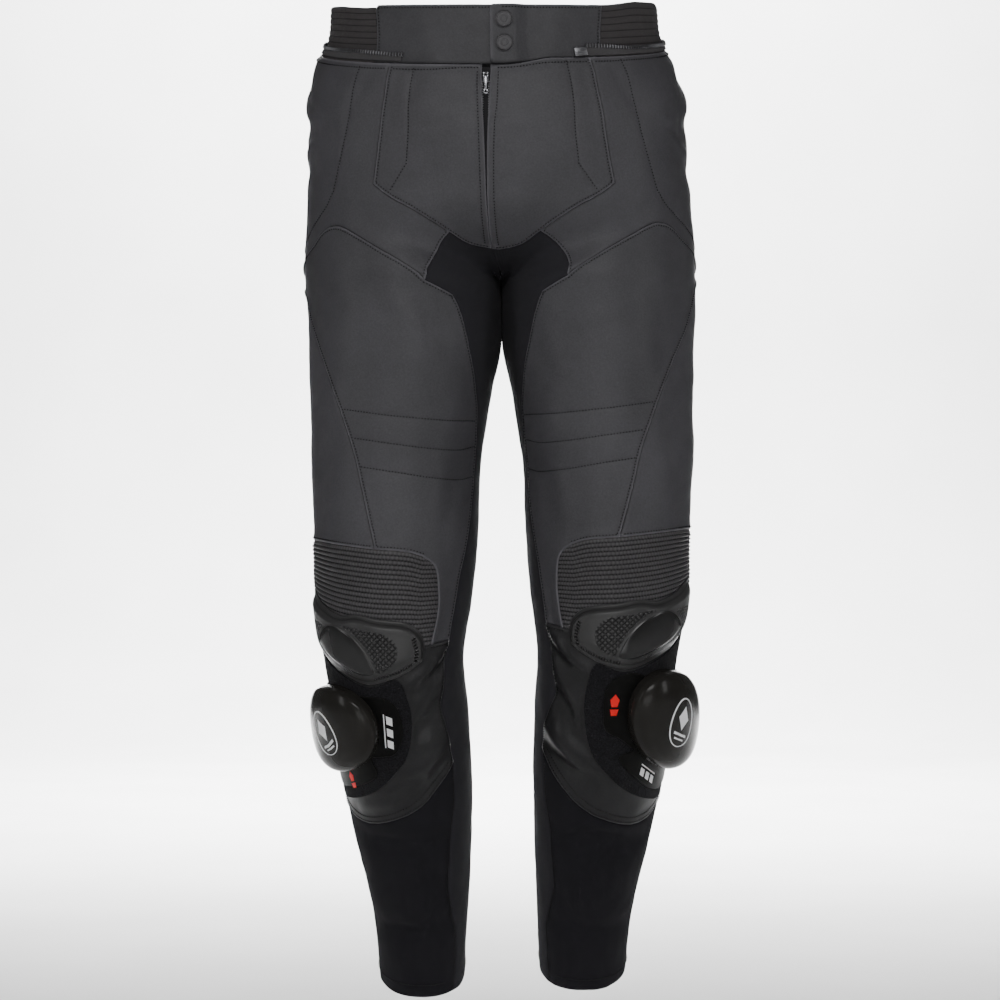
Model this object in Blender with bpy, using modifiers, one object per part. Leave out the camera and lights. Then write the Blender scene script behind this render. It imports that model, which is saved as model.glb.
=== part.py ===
"""Motorcycle trousers: leather race trousers in their worn, hollow form, with nobody inside.

Leather panels, stretch insets at the crotch, inner legs and shins, ribbed leather over the knees,
hard knee cups, hook-and-loop patches with their knee sliders, a waistband with ribbed elastic sides,
two snaps, an open-topped fly with its zip, and the long connection zip round the waist.

Frame: metres, +Z up, the front faces -Y and +X is the wearer's left. The origin is the middle of the
waist opening, half way down the waistband.

The cloth is worked out from one table of cross-sections. A place on the cloth is given as
(around, down): `down` is the distance below the waist rim, measured at the side; `around` runs over
one half of the body, from the centre front (0) over the outer side (0.5) to the centre back (1), and
below the crotch once round the leg, from the inseam over the front back to the inseam. Both halves
share every seam, mirrored; the table's `turn` and `slip` give the small differences of how they hang.
"""
import math
from collections import namedtuple

import bmesh
import bpy
import numpy as np
from mathutils import Matrix, Vector
from mathutils.geometry import delaunay_2d_cdt

MM = 0.001

# ---------------------------------------------------------------- driving dimensions
WAIST_RIM_HEIGHT = 27 * MM        # rim at the side, above the origin
BAND_DEPTH = 46 * MM              # waistband, rim to waist seam
FORK_DOWN = 195 * MM              # where the halves start to part into legs
CROTCH_DOWN = 275 * MM            # lowest point of the crotch seam
HEM_DOWN = 970 * MM

SEAM_GAP = 0.3 * MM
LEATHER = 2.0 * MM
STRETCH = 1.6 * MM
BAND_WALL = 3.0 * MM
BAND_PROUD = 1.0 * MM             # the band's outer face over the panels'
ELASTIC_WALL = 1.6 * MM

SEAM_STEP = 21 * MM               # point spacing along the seams
CLOTH_STEP = 33 * MM              # and inside the panels
LEG_GIRTH = 0.55                  # length of one turn of `around`, for laying the pattern out flat

RIB_COUNT = 20                    # leather ribs over the knee
RIB_HEIGHT = 1.7 * MM
ELASTIC_RIBS = 6
ELASTIC_RIB_HEIGHT = 1.3 * MM

CUP_EDGE = 2.6 * MM               # knee cup: thickness at its rim, and over the middle
CUP_CROWN = 7.0 * MM
CUP_SLOPE = 13 * MM               # how far in from the rim the crown is reached
PATCH_WALL = 1.2 * MM             # hook-and-loop patch, and the slider's base sheet
SLIDER_RIM = 9 * MM
SLIDER_CROWN = 30 * MM            # how far the slider stands out
SLIDER_HALF_AROUND = 0.102
SLIDER_HALF_DOWN = 41 * MM
SLIDER_POWER = 2.5                # superellipse power of its outline

SIDES = {"left": 1, "right": -1}  # the wearer's left is +X

Section = namedtuple("Section", "down outer inner front back tilt lean turn slip")
# outer, inner: the leg's or half torso's reach in X; front, back: in Y; tilt: rise of the ring
# from its middle to its back; lean: sideways shift of both halves; turn, slip: how far the right
# half's seams sit round and down, and the left half's the other way.
SECTIONS = (
    Section(0.000, 0.1620, 0.0000, -0.104, 0.108, 0.125, -0.0075, 0.0075, 0.0000),
    Section(0.030, 0.1655, 0.0000, -0.108, 0.114, 0.200, -0.0068, 0.0075, 0.0000),
    Section(0.043, 0.1705, 0.0000, -0.110, 0.117, 0.225, -0.0064, 0.0075, 0.0000),
    Section(0.051, 0.1775, 0.0000, -0.111, 0.119, 0.238, -0.0062, 0.0075, 0.0000),
    Section(0.062, 0.1830, 0.0000, -0.113, 0.122, 0.230, -0.0060, 0.0078, 0.0000),
    Section(0.085, 0.1900, 0.0000, -0.116, 0.128, 0.200, -0.0054, 0.0080, 0.0000),
    Section(0.130, 0.1910, 0.0000, -0.120, 0.136, 0.100, -0.0043, 0.0090, 0.0000),
    Section(0.190, 0.1920, 0.0000, -0.119, 0.141, 0.030, -0.0028, 0.0095, 0.0005),
    Section(0.265, 0.1950, 0.0010, -0.113, 0.124, 0.000, -0.0010, 0.0080, 0.0030),
    Section(0.310, 0.1930, 0.0022, -0.114, 0.104, -0.030, 0.0000, 0.0070, 0.0022),
    Section(0.375, 0.1900, 0.0085, -0.117, 0.082, -0.080, 0.0000, 0.0060, 0.0030),
    Section(0.450, 0.1890, 0.0200, -0.122, 0.061, -0.100, 0.0005, 0.0070, 0.0040),
    Section(0.530, 0.1840, 0.0235, -0.131, 0.040, -0.060, 0.0005, 0.0085, 0.0050),
    Section(0.585, 0.1810, 0.0285, -0.138, 0.024, 0.060, 0.0000, 0.0085, 0.0060),
    Section(0.640, 0.1720, 0.0360, -0.136, 0.022, 0.220, -0.0010, 0.0085, 0.0065),
    Section(0.700, 0.1640, 0.0325, -0.116, 0.045, 0.340, 0.0000, 0.0085, 0.0050),
    Section(0.765, 0.1575, 0.0305, -0.088, 0.060, 0.380, 0.0010, 0.0085, 0.0010),
    Section(0.830, 0.1460, 0.0315, -0.056, 0.070, 0.380, 0.0012, 0.0085, 0.0000),
    Section(0.900, 0.1310, 0.0345, -0.022, 0.083, 0.380, 0.0010, 0.0085, 0.0015),
    Section(0.970, 0.1240, 0.0380, 0.009, 0.101, 0.380, 0.0010, 0.0085, 0.0035),
)
TORSO_POWER = 0.80                # squareness of the half torso's ring
LEG_POWER = 0.92                  # and of the leg's

Fold = namedtuple("Fold", "side around0 down0 around1 down1 width height")
# The largest creases: a soft ridge (or trough, below zero) along the line between two places.
FOLDS = (
    # gathers of the hip under the waist seam
    Fold("both", 0.42, 0.080, 0.62, 0.062, 0.014, -0.0045),
    Fold("both", 0.40, 0.118, 0.64, 0.112, 0.016, -0.0050),
    Fold("both", 0.38, 0.160, 0.62, 0.166, 0.014, -0.0035),
    # below the knee, the leather slumps towards the inner side
    Fold("both", 0.130, 0.668, 0.225, 0.694, 0.011, -0.0060),
    Fold("both", 0.115, 0.700, 0.215, 0.722, 0.010, 0.0050),
    Fold("right", 0.125, 0.728, 0.240, 0.752, 0.009, -0.0040),
    Fold("left", 0.120, 0.722, 0.230, 0.744, 0.010, -0.0040),
    # stretch cloth bunched over the ankle and at the calf
    Fold("both", 0.14, 0.800, 0.40, 0.806, 0.012, -0.0040),
    Fold("both", 0.16, 0.898, 0.44, 0.905, 0.012, -0.0045),
    Fold("both", 0.66, 0.860, 0.86, 0.850, 0.013, -0.0045),
    # creases behind the bent knee and under the seat
    Fold("both", 0.66, 0.560, 0.92, 0.556, 0.014, -0.0060),
    Fold("both", 0.66, 0.640, 0.90, 0.646, 0.014, -0.0060),
    Fold("both", 0.70, 0.330, 0.93, 0.312, 0.016, -0.0055),
)

# ---------------------------------------------------------------- the pattern, as (around, down)
CENTRE_FRONT_END = (0.0, 0.2315)
CROTCH_POINT = (0.0, CROTCH_DOWN)
YOKE_TOP = (0.162, BAND_DEPTH)
YOKE_CORNER = (0.180, 0.182)
GUSSET_TOP = (0.062, 0.2220)
GUSSET_HIP = (0.206, 0.2785)
THIGH_CORNER = (0.160, 0.2930)
THIGH_WING = (0.560, 0.2680)
SIDE_TOP = (0.600, BAND_DEPTH)
SIDE_HIP = (0.620, 0.2620)
KNEE_INNER = (0.107, 0.6110)
RIBS_FOOT = (0.157, 0.6130)
RIBS_CORNER = (0.189, 0.5430)
THIGH_END = (0.2725, 0.5375)
RIBS_SIDE = (0.585, 0.5240)
FOOT_SIDE = (0.585, 0.5985)
ARC_INNER = (0.090, 0.7220)
ARC_SIDE = (0.612, 0.7600)
HEM_INNER = (0.112, HEM_DOWN)
HEM_SIDE = (0.640, HEM_DOWN)
BACK_KNEE_SIDE = (0.585, 0.6060)
BACK_KNEE_INNER = (0.890, 0.6120)
HEM_BACK = (0.890, HEM_DOWN)

# Each seam: the places it runs through, both ends included.
SEAMS = {
    "fly": ((0.0043, BAND_DEPTH), (0.0032, 0.080), (0.0016, 0.120), (0.0004, 0.180), CENTRE_FRONT_END),
    "waist_yoke": ((0.0043, BAND_DEPTH), YOKE_TOP),
    "waist_hip": (YOKE_TOP, SIDE_TOP),
    "waist_back": (SIDE_TOP, (1.0, BAND_DEPTH)),
    "yoke_outer": (YOKE_TOP, (0.1575, 0.083), (0.169, 0.142), YOKE_CORNER),
    "yoke_lower_hip": (YOKE_CORNER, (0.150, 0.1945), (0.108, 0.206), GUSSET_TOP),
    "yoke_lower_crotch": (GUSSET_TOP, (0.038, 0.2295), CENTRE_FRONT_END),
    "gusset": (GUSSET_TOP, (0.128, 0.2425), (0.176, 0.2610), GUSSET_HIP),
    "thigh_arc": (THIGH_WING, (0.510, 0.2620), (0.465, 0.2520), (0.398, 0.2390), (0.360, 0.2285),
                  (0.319, 0.2225), (0.2845, 0.2245), (0.250, 0.2420), GUSSET_HIP),
    "thigh_gusset": (GUSSET_HIP, THIGH_CORNER),
    "thigh_inner": (THIGH_CORNER, (0.143, 0.312), (0.116, 0.352), (0.092, 0.385), (0.071, 0.410),
                    (0.057, 0.450), (0.063, 0.485), (0.078, 0.531), (0.096, 0.565), KNEE_INNER),
    "thigh_outer": (THIGH_WING, (0.510, 0.2780), (0.462, 0.2930), (0.423, 0.328), (0.375, 0.375),
                    (0.337, 0.417), (0.310, 0.453), (0.297, 0.484), (0.284, 0.515), THIGH_END),
    "hip_side": (THIGH_WING, SIDE_HIP),
    "knee_step": (KNEE_INNER, RIBS_FOOT),
    "ribs_inner": (RIBS_CORNER, (0.164, 0.550), (0.154, 0.5615), (0.1485, 0.5865), RIBS_FOOT),
    "ribs_top": (RIBS_CORNER, (0.220, 0.5395), THIGH_END),
    "ribs_side": (THIGH_END, (0.347, 0.5335), (0.466, 0.5270), RIBS_SIDE),
    "ribs_foot": (RIBS_FOOT, (0.250, 0.6150), (0.350, 0.6120), (0.460, 0.6030), FOOT_SIDE),
    "side_seat": (SIDE_TOP, (0.620, 0.150), SIDE_HIP),
    "side_thigh": (SIDE_HIP, (0.605, 0.400), RIBS_SIDE),
    "side_knee": (RIBS_SIDE, FOOT_SIDE),
    "side_patch": (FOOT_SIDE, BACK_KNEE_SIDE),
    "side_calf": (BACK_KNEE_SIDE, (0.600, 0.700), ARC_SIDE),
    "side_shin": (ARC_SIDE, (0.635, 0.860), HEM_SIDE),
    "lower_inner": (KNEE_INNER, (0.117, 0.640), (0.124, 0.665), (0.110, 0.690), ARC_INNER),
    "lower_arc": (ARC_INNER, (0.118, 0.7345), (0.173, 0.7510), (0.234, 0.7685), (0.2955, 0.780),
                  (0.355, 0.786), (0.420, 0.785), (0.520, 0.7750), ARC_SIDE),
    "shin_inner": (ARC_INNER, (0.105, 0.765), (0.124, 0.797), (0.143, 0.850), (0.127, 0.886),
                   (0.107, 0.910), HEM_INNER),
    "hem_shin": (HEM_INNER, HEM_SIDE),
    "hem_calf": (HEM_SIDE, HEM_BACK),
    "hem_inner": ((HEM_BACK[0] - 1, HEM_DOWN), HEM_INNER),
    "crotch": (CENTRE_FRONT_END, CROTCH_POINT),
    "centre_back": ((1.0, BAND_DEPTH), (1.0, CROTCH_DOWN)),
    "inseam_top": (CROTCH_POINT, (-0.014, 0.2860), (-0.042, 0.3000), (-0.080, 0.325), (-0.104, 0.370),
                   (-0.112, 0.460), (BACK_KNEE_INNER[0] - 1, BACK_KNEE_INNER[1])),
    "inseam_low": ((BACK_KNEE_INNER[0] - 1, BACK_KNEE_INNER[1]), (-0.112, 0.760),
                   (HEM_BACK[0] - 1, HEM_DOWN)),
    "back_knee": (BACK_KNEE_SIDE, (0.700, 0.600), (0.800, 0.602), BACK_KNEE_INNER),
}

Panel = namedtuple("Panel", "seams wall material")
# Seams walked round each panel's outline; "-" walks one backwards, "+1" takes it a turn on.
PANELS = {
    "front_yoke": Panel("waist_yoke yoke_outer yoke_lower_hip yoke_lower_crotch -fly", LEATHER,
                        "leather_front"),
    "hip_panel": Panel("waist_hip side_seat -hip_side thigh_arc -gusset -yoke_lower_hip -yoke_outer",
                       LEATHER, "leather_side"),
    "thigh_front": Panel("thigh_arc thigh_gusset thigh_inner knee_step -ribs_inner ribs_top "
                         "-thigh_outer", LEATHER, "leather_front"),
    "thigh_side": Panel("thigh_outer ribs_side -side_thigh -hip_side", LEATHER, "leather_side"),
    "knee_ribs": Panel("ribs_top ribs_side side_knee -ribs_foot -ribs_inner", LEATHER, "leather_ribs"),
    "knee_lower": Panel("knee_step ribs_foot side_patch side_calf -lower_arc -lower_inner", LEATHER,
                        "leather_side"),
    "shin": Panel("lower_arc side_shin -hem_shin -shin_inner", STRETCH, "stretch_cloth"),
    "inner_leg": Panel("crotch inseam_top inseam_low hem_inner -shin_inner -lower_inner -thigh_inner "
                       "-thigh_gusset -gusset yoke_lower_crotch", STRETCH, "stretch_cloth"),
    "back_leg": Panel("waist_back centre_back inseam_top+1 -back_knee -side_patch -side_knee "
                      "-side_thigh -side_seat", LEATHER, "leather_side"),
    "calf": Panel("back_knee inseam_low+1 -hem_calf -side_shin -side_calf", STRETCH, "stretch_cloth"),
}

CUP_OUTLINE = (
    (0.471, 0.5730), (0.403, 0.5845), (0.350, 0.5905), (0.309, 0.5890), (0.2675, 0.5920),
    (0.219, 0.5945), (0.193, 0.6000), (0.178, 0.6080), (0.174, 0.6185), (0.1875, 0.6275),
    (0.232, 0.6370), (0.2745, 0.6425), (0.306, 0.6430), (0.354, 0.6380), (0.4235, 0.6295),
    (0.474, 0.6160), (0.484, 0.5930),
)
PATCH_OUTLINE = (
    (0.232, 0.6450), (0.275, 0.6485), (0.310, 0.6490), (0.355, 0.6440), (0.4235, 0.6360),
    (0.480, 0.6280), (0.530, 0.6230), (0.552, 0.6500), (0.560, 0.7000), (0.545, 0.7420),
    (0.500, 0.7630), (0.448, 0.7720), (0.395, 0.7660), (0.3165, 0.7490), (0.2685, 0.7310),
    (0.231, 0.7080), (0.2115, 0.6780), (0.214, 0.6570),
)
# The slider's place, and its base sheet's lobes from there.
SLIDER_CENTRE = {"left": (0.384, 0.6920), "right": (0.374, 0.6915)}
BASE_OUTLINE = (
    (-0.075, -0.0430), (-0.105, -0.0430), (-0.127, -0.0370), (-0.138, -0.0270), (-0.138, -0.0120),
    (-0.130, 0.0020), (-0.114, 0.0110), (-0.108, 0.0160), (-0.106, 0.0260), (-0.090, 0.0370),
    (-0.060, 0.0480), (0.000, 0.0540), (0.065, 0.0530), (0.110, 0.0400), (0.122, 0.0100),
    (0.122, -0.0250), (0.105, -0.0430), (0.065, -0.0485), (0.010, -0.0485), (-0.035, -0.0465),
)
DOME_RINGS = {0.90: 20, 0.66: 14, 0.34: 7}   # rings inside the slider's outline: corners of each

# ---------------------------------------------------------------- waist pieces, as around and down
BAND_FRONT_END = (0.204, 0.188)   # where the leather band ends, at the rim and at the seam
BAND_BACK_START = 0.620
TAB_END = 0.0040                  # free end of the band's left front, which laps the right one
UNDERLAP_END = -0.0220            # how far the right front reaches under it
TAB_FLAT, TAB_FOOT = 0.028, 0.050  # the tab is lifted before TAB_FLAT and seated from TAB_FOOT on
WAIST_STEP = 0.027
ZIP_ROWS = (0.0325, 0.0445)       # the connection zip's tape, upper and lower edge
ZIP_WALL = 1.8 * MM
ZIP_CLEARANCE = 0.8 * MM          # over the band, whose facets it crosses
ZIP_START, ZIP_END = 0.1572, 1.8620
ZIP_BOX_AROUND = 0.1420
SNAP_AROUND = 0.0165
SNAP_DOWNS = {"snap_upper": 0.012, "snap_lower": 0.030}
SNAP_RADIUS = 8.7 * MM
FLY_ZIP_HALF = 0.009
FLY_ZIP_ROWS = (0.0475, 0.1830)
FLY_ZIP_DEPTH = 1.3 * MM          # its tape, behind the leather
SLIDER_DOWN = 0.0580              # the fly zip's slider, on the centre front

COLOURS = {                       # base colour, roughness, metallic
    "leather_front": ((0.062, 0.060, 0.064), 0.52, 0.0),
    "leather_side": ((0.034, 0.032, 0.033), 0.55, 0.0),
    "leather_ribs": ((0.032, 0.030, 0.031), 0.50, 0.0),
    "stretch_cloth": ((0.012, 0.012, 0.014), 0.90, 0.0),
    "ribbed_elastic": ((0.018, 0.017, 0.018), 0.80, 0.0),
    "loop_pile": ((0.030, 0.028, 0.030), 0.95, 0.0),
    "moulded_rubber": ((0.033, 0.032, 0.032), 0.45, 0.0),
    "slider_plastic": ((0.020, 0.020, 0.020), 0.22, 0.0),
    "dark_metal": ((0.18, 0.18, 0.19), 0.28, 1.0),
}


# ---------------------------------------------------------------- the worn surface
def between_sections(down, column):
    """A column of SECTIONS read at `down`, on a smooth curve through the rows."""
    xs = np.array([row.down for row in SECTIONS])
    ys = np.array([getattr(row, column) for row in SECTIONS])
    x = np.clip(down, xs[0], xs[-1])
    i = np.clip(np.searchsorted(xs, x, side="right") - 1, 0, len(xs) - 2)
    steps = xs[1:] - xs[:-1]
    rises = (ys[1:] - ys[:-1]) / steps
    slopes = np.empty_like(ys)
    slopes[1:-1] = (rises[:-1] * steps[1:] + rises[1:] * steps[:-1]) / (steps[1:] + steps[:-1])
    slopes[0], slopes[-1] = rises[0], rises[-1]
    t = (x - xs[i]) / steps[i]
    return (ys[i] * (2 * t**3 - 3 * t**2 + 1) + slopes[i] * steps[i] * (t**3 - 2 * t**2 + t)
            + ys[i + 1] * (3 * t**2 - 2 * t**3) + slopes[i + 1] * steps[i] * (t**3 - t**2))


def signed_power(value, power):
    return np.sign(value) * np.abs(value) ** power


def smooth_step(value, low, high):
    t = np.clip((value - low) / (high - low), 0, 1)
    return t * t * (3 - 2 * t)


def bare_surface(side, around, down):
    """The cloth's outer face without its creases, as an array of points."""
    torso = down < CROTCH_DOWN
    over_front = torso & (around < 0)
    over_back = torso & (around > 1)
    side = np.where(over_front | over_back, -side, side)
    around = np.where(over_front, -around, np.where(over_back, 2 - around, around))

    parting = np.clip((down - FORK_DOWN) / (CROTCH_DOWN - FORK_DOWN), 0, 1)
    at_seam = np.abs(2 * around - 1) ** 3
    depth = FORK_DOWN + (CROTCH_DOWN - FORK_DOWN) * (
        (1 - at_seam) * parting + at_seam * np.sin(parting * math.pi / 2))
    depth = np.where((down > FORK_DOWN) & torso, depth, down)
    legness = ((1 - at_seam) * parting**2 * (3 - 2 * parting)
               + at_seam * (1 - np.cos(parting * math.pi / 2)))

    outer, inner, front, back, tilt, lean = (
        between_sections(depth, name) for name in Section._fields[1:7])
    middle_y, half_y = (front + back) / 2, (back - front) / 2
    torso_x = outer * signed_power(np.sin(math.pi * around), TORSO_POWER)
    torso_y = middle_y - half_y * signed_power(np.cos(math.pi * around), TORSO_POWER)
    half_x, middle_x = (outer - inner) / 2, (outer + inner) / 2
    leg_x = middle_x - half_x * signed_power(np.cos(2 * math.pi * around), LEG_POWER)
    leg_y = middle_y - half_y * signed_power(np.sin(2 * math.pi * around), LEG_POWER)

    x = (1 - legness) * torso_x + legness * leg_x
    y = (1 - legness) * torso_y + legness * leg_y
    z = WAIST_RIM_HEIGHT - depth + (y - middle_y) * tilt
    return np.stack([side * x + lean, y, z], axis=-1)


def fold_height(side, around, down):
    """How far the creases lift the cloth at each place."""
    height = np.zeros_like(around)
    here = np.stack([around * LEG_GIRTH, down], axis=-1)
    for fold in FOLDS:
        if fold.side != "both" and SIDES[fold.side] != side:
            continue
        start = np.array([fold.around0 * LEG_GIRTH, fold.down0])
        run = np.array([fold.around1 * LEG_GIRTH, fold.down1]) - start
        along = ((here - start) @ run) / (run @ run)
        nearest = start + np.clip(along, 0, 1)[..., None] * run
        off = np.linalg.norm(here - nearest, axis=-1) / fold.width
        swell = 0.45 + 0.55 * np.sin(math.pi * np.clip(along, 0, 1))
        height += fold.height * swell * np.exp(-off**2)
    return height


def on_cloth(side, flat):
    """Points and outward normals of the cloth at the places (around, down) in `flat`."""
    flat = np.asarray(flat, dtype=float)
    around, down = flat[:, 0], flat[:, 1]
    at_crotch = smooth_step(down, 0.225, 0.255) - smooth_step(down, CROTCH_DOWN, 0.34)
    in_torso = 1 - smooth_step(down, CROTCH_DOWN, 0.34)
    by_centre = (1 - 2 * np.abs(around - np.round(around))) ** 6
    around_here = around - side * (1 - at_crotch * by_centre) * between_sections(down, "turn")
    down_here = down - side * (1 - in_torso * by_centre) * between_sections(down, "slip")
    nudge = 0.0008
    across = (bare_surface(side, around_here + nudge, down_here)
              - bare_surface(side, around_here - nudge, down_here))
    along = (bare_surface(side, around_here, down_here + nudge)
             - bare_surface(side, around_here, down_here - nudge))
    normals = side * np.cross(along, across)
    normals /= np.linalg.norm(normals, axis=1, keepdims=True)
    points = bare_surface(side, around_here, down_here)
    return points + normals * fold_height(side, around, down)[:, None], normals


# ---------------------------------------------------------------- laying the pattern out flat
def smooth_curve(places, step, closed=False):
    """Places along a smooth curve through `places`, about `step` apart."""
    knots = [Vector((around * LEG_GIRTH, down)) for around, down in places]
    count = len(knots)
    spans = count if closed else count - 1
    curve = []
    for i in range(spans):
        here, there = knots[i], knots[(i + 1) % count]
        before = knots[i - 1] if closed or i > 0 else here * 2 - there
        after = knots[(i + 2) % count] if closed or i + 2 < count else there * 2 - here
        pieces = max(1, round((there - here).length / step))
        for k in range(pieces):
            t = k / pieces
            slope_in = (there - before) * 0.5
            slope_out = (after - here) * 0.5
            point = (here * (2 * t**3 - 3 * t**2 + 1) + slope_in * (t**3 - 2 * t**2 + t)
                     + there * (3 * t**2 - 2 * t**3) + slope_out * (t**3 - t**2))
            curve.append((point.x / LEG_GIRTH, point.y))
    if not closed:
        curve.append(tuple(places[-1]))
    return curve


def seam_places(name):
    """One seam's places; a leading "-" walks it backwards, an ending "+1" takes it a turn on."""
    backwards, a_turn_on = name.startswith("-"), name.endswith("+1")
    places = smooth_curve(SEAMS[name.removeprefix("-").removesuffix("+1")], SEAM_STEP)
    if a_turn_on:
        places = [(around + 1, down) for around, down in places]
    return places[::-1] if backwards else places


def anticlockwise(outline):
    """The outline, walked the way round that the triangulation takes as its inside."""
    corners = np.array(outline)
    after = np.roll(corners, -1, axis=0)
    area = (corners[:, 0] * after[:, 1] - after[:, 0] * corners[:, 1]).sum()
    return outline if area > 0 else outline[::-1]


def panel_outline(panel):
    """A panel's closed outline, walked along its seams."""
    return [place for name in panel.seams.split() for place in seam_places(name)[:-1]]


def slider_outline(centre, scale=1.0, count=24):
    """The knee slider's outline, or a smaller ring inside it."""
    ring = []
    for k in range(count):
        turn = 2 * math.pi * k / count
        around = signed_power(math.cos(turn), 2 / SLIDER_POWER) * SLIDER_HALF_AROUND
        down = signed_power(math.sin(turn), 2 / SLIDER_POWER) * SLIDER_HALF_DOWN
        ring.append((centre[0] + scale * around, centre[1] + scale * down))
    return ring


def distance_to_outline(places, outline):
    """Distance of each place to a closed outline, below zero inside, on the flat pattern."""
    scale = np.array([LEG_GIRTH, 1.0])
    points = np.asarray(places, dtype=float) * scale
    start = np.asarray(outline, dtype=float) * scale
    end = np.roll(start, -1, axis=0)
    run = end - start
    offset = points[:, None] - start[None]
    along = np.clip((offset * run).sum(-1) / (run * run).sum(-1), 0, 1)
    distance = np.linalg.norm(offset - along[..., None] * run, axis=-1).min(1)
    crosses = (start[:, 1] > points[:, None, 1]) != (end[:, 1] > points[:, None, 1])
    with np.errstate(divide="ignore", invalid="ignore"):
        meets = start[:, 0] + (points[:, None, 1] - start[:, 1]) * run[:, 0] / run[:, 1]
    inside = (crosses & (points[:, None, 0] < meets)).sum(1) % 2 == 1
    return np.where(inside, -distance, distance)


def seam_down_at(name, around):
    """How far down a seam lies at `around`."""
    places = sorted(seam_places(name))
    return np.interp(around, [place[0] for place in places], [place[1] for place in places])


def rib_phase(places):
    """Ribs counted from the top of the ribbed panel to each place."""
    around = np.asarray(places)[:, 0]
    top = np.where(around < THIGH_END[0], seam_down_at("ribs_top", around),
                   seam_down_at("ribs_side", around))
    foot = seam_down_at("ribs_foot", around)
    return (np.asarray(places)[:, 1] - top) / (foot - top) * RIB_COUNT


def rib_height(places, ribs_outline, cup_outline):
    """Height of the leather ribs, which fade out at their seams and under the knee cup."""
    from_seam = -distance_to_outline(places, ribs_outline)
    from_cup = distance_to_outline(places, cup_outline)
    fade = smooth_step(from_seam, 1 * MM, 5 * MM) * smooth_step(from_cup, 1 * MM, 5 * MM)
    return RIB_HEIGHT * fade * (0.5 - 0.5 * np.cos(2 * math.pi * rib_phase(places)))


def inner_places():
    """Places inside the panels: a staggered net, the creases, the ribs and the sliders' rings."""
    places = []
    rows = int((HEM_DOWN - BAND_DEPTH) / CLOTH_STEP)
    step_around = CLOTH_STEP / LEG_GIRTH
    for row in range(rows + 1):
        shift = 0.5 * (row % 2)
        for column in range(int(1.12 / step_around) + 1):
            places.append((-0.12 + (column + shift) * step_around, BAND_DEPTH + row * CLOTH_STEP))
    return places


def crease_places(side_name):
    """Places along each crease, on its crest and on its flanks."""
    places = []
    for fold in FOLDS:
        if fold.side not in ("both", side_name):
            continue
        start = Vector((fold.around0 * LEG_GIRTH, fold.down0))
        run = Vector((fold.around1 * LEG_GIRTH, fold.down1)) - start
        across = Vector((-run.y, run.x)).normalized() * fold.width
        pieces = max(2, round(run.length / (22 * MM)))
        for k in range(pieces + 1):
            for offset in (-1.25, 0, 1.25):
                point = start + run * (k / pieces) + across * offset
                places.append((point.x / LEG_GIRTH, point.y))
    return places


def rib_places():
    """Places along the crest and the foot of each leather rib."""
    places = []
    for around in np.linspace(0.168, 0.572, 13):
        spot = [(around, 0.0), (around, 1.0)]
        low, high = rib_phase(spot)
        for half in range(1, 2 * RIB_COUNT):
            places.append((around, (half / 2 - low) / (high - low)))
    return places


def clear_of(places, others, distance):
    """The places that keep `distance` from all the others, on the flat pattern."""
    scale = np.array([LEG_GIRTH, 1.0])
    others = np.asarray(others) * scale
    kept = []
    for place in places:
        if np.linalg.norm(others - np.asarray(place) * scale, axis=1).min() > distance:
            kept.append(place)
    return kept


def triangulate(outlines, places):
    """Flat triangles over closed outlines, with the outlines that each triangle lies in and the
    given places that each corner comes from."""
    index, flat, rings = {}, [], []
    for outline in outlines:
        ring = []
        for around, down in anticlockwise(outline):
            key = (round(around, 7), round(down, 7))
            if key not in index:
                index[key] = len(flat)
                flat.append(Vector((around * LEG_GIRTH, down)))
            ring.append(index[key])
        rings.append(ring)
    flat += [Vector((around * LEG_GIRTH, down)) for around, down in places]
    verts, _, faces, sources, _, owners = delaunay_2d_cdt(flat, [], rings, 0, 1e-7)
    flat = [(vert.x / LEG_GIRTH, vert.y) for vert in verts]
    return flat, faces, owners, sources


# ---------------------------------------------------------------- solids from the flat pattern
def boundary_ring(triangles):
    """The closed ring of corner numbers round a patch of triangles."""
    follows = {}
    edges = {(tri[i], tri[(i + 1) % 3]) for tri in triangles for i in range(3)}
    for start, end in edges:
        if (end, start) not in edges:
            follows[start] = end
    ring = [min(follows)]
    while len(ring) < len(follows):
        ring.append(follows[ring[-1]])
    return ring


def draw_in(points, normals, ring, gap):
    """Moves the ring's points into the panel by `gap`, square to the seam."""
    moved = points.copy()
    for k, here in enumerate(ring):
        before, after = ring[k - 1], ring[(k + 1) % len(ring)]
        normal = normals[here]
        inward = []
        for run in (points[here] - points[before], points[after] - points[here]):
            square = np.cross(normal, run)
            inward.append(square / np.linalg.norm(square))
        miter = (inward[0] + inward[1]) / max(0.25, 1 + float(inward[0] @ inward[1]))
        moved[here] = points[here] + miter * gap
    return moved


def new_object(name, mesh, material):
    piece = bpy.data.objects.new(name, mesh)
    mesh.materials.append(materials[material])
    collection.objects.link(piece)
    return piece


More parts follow.
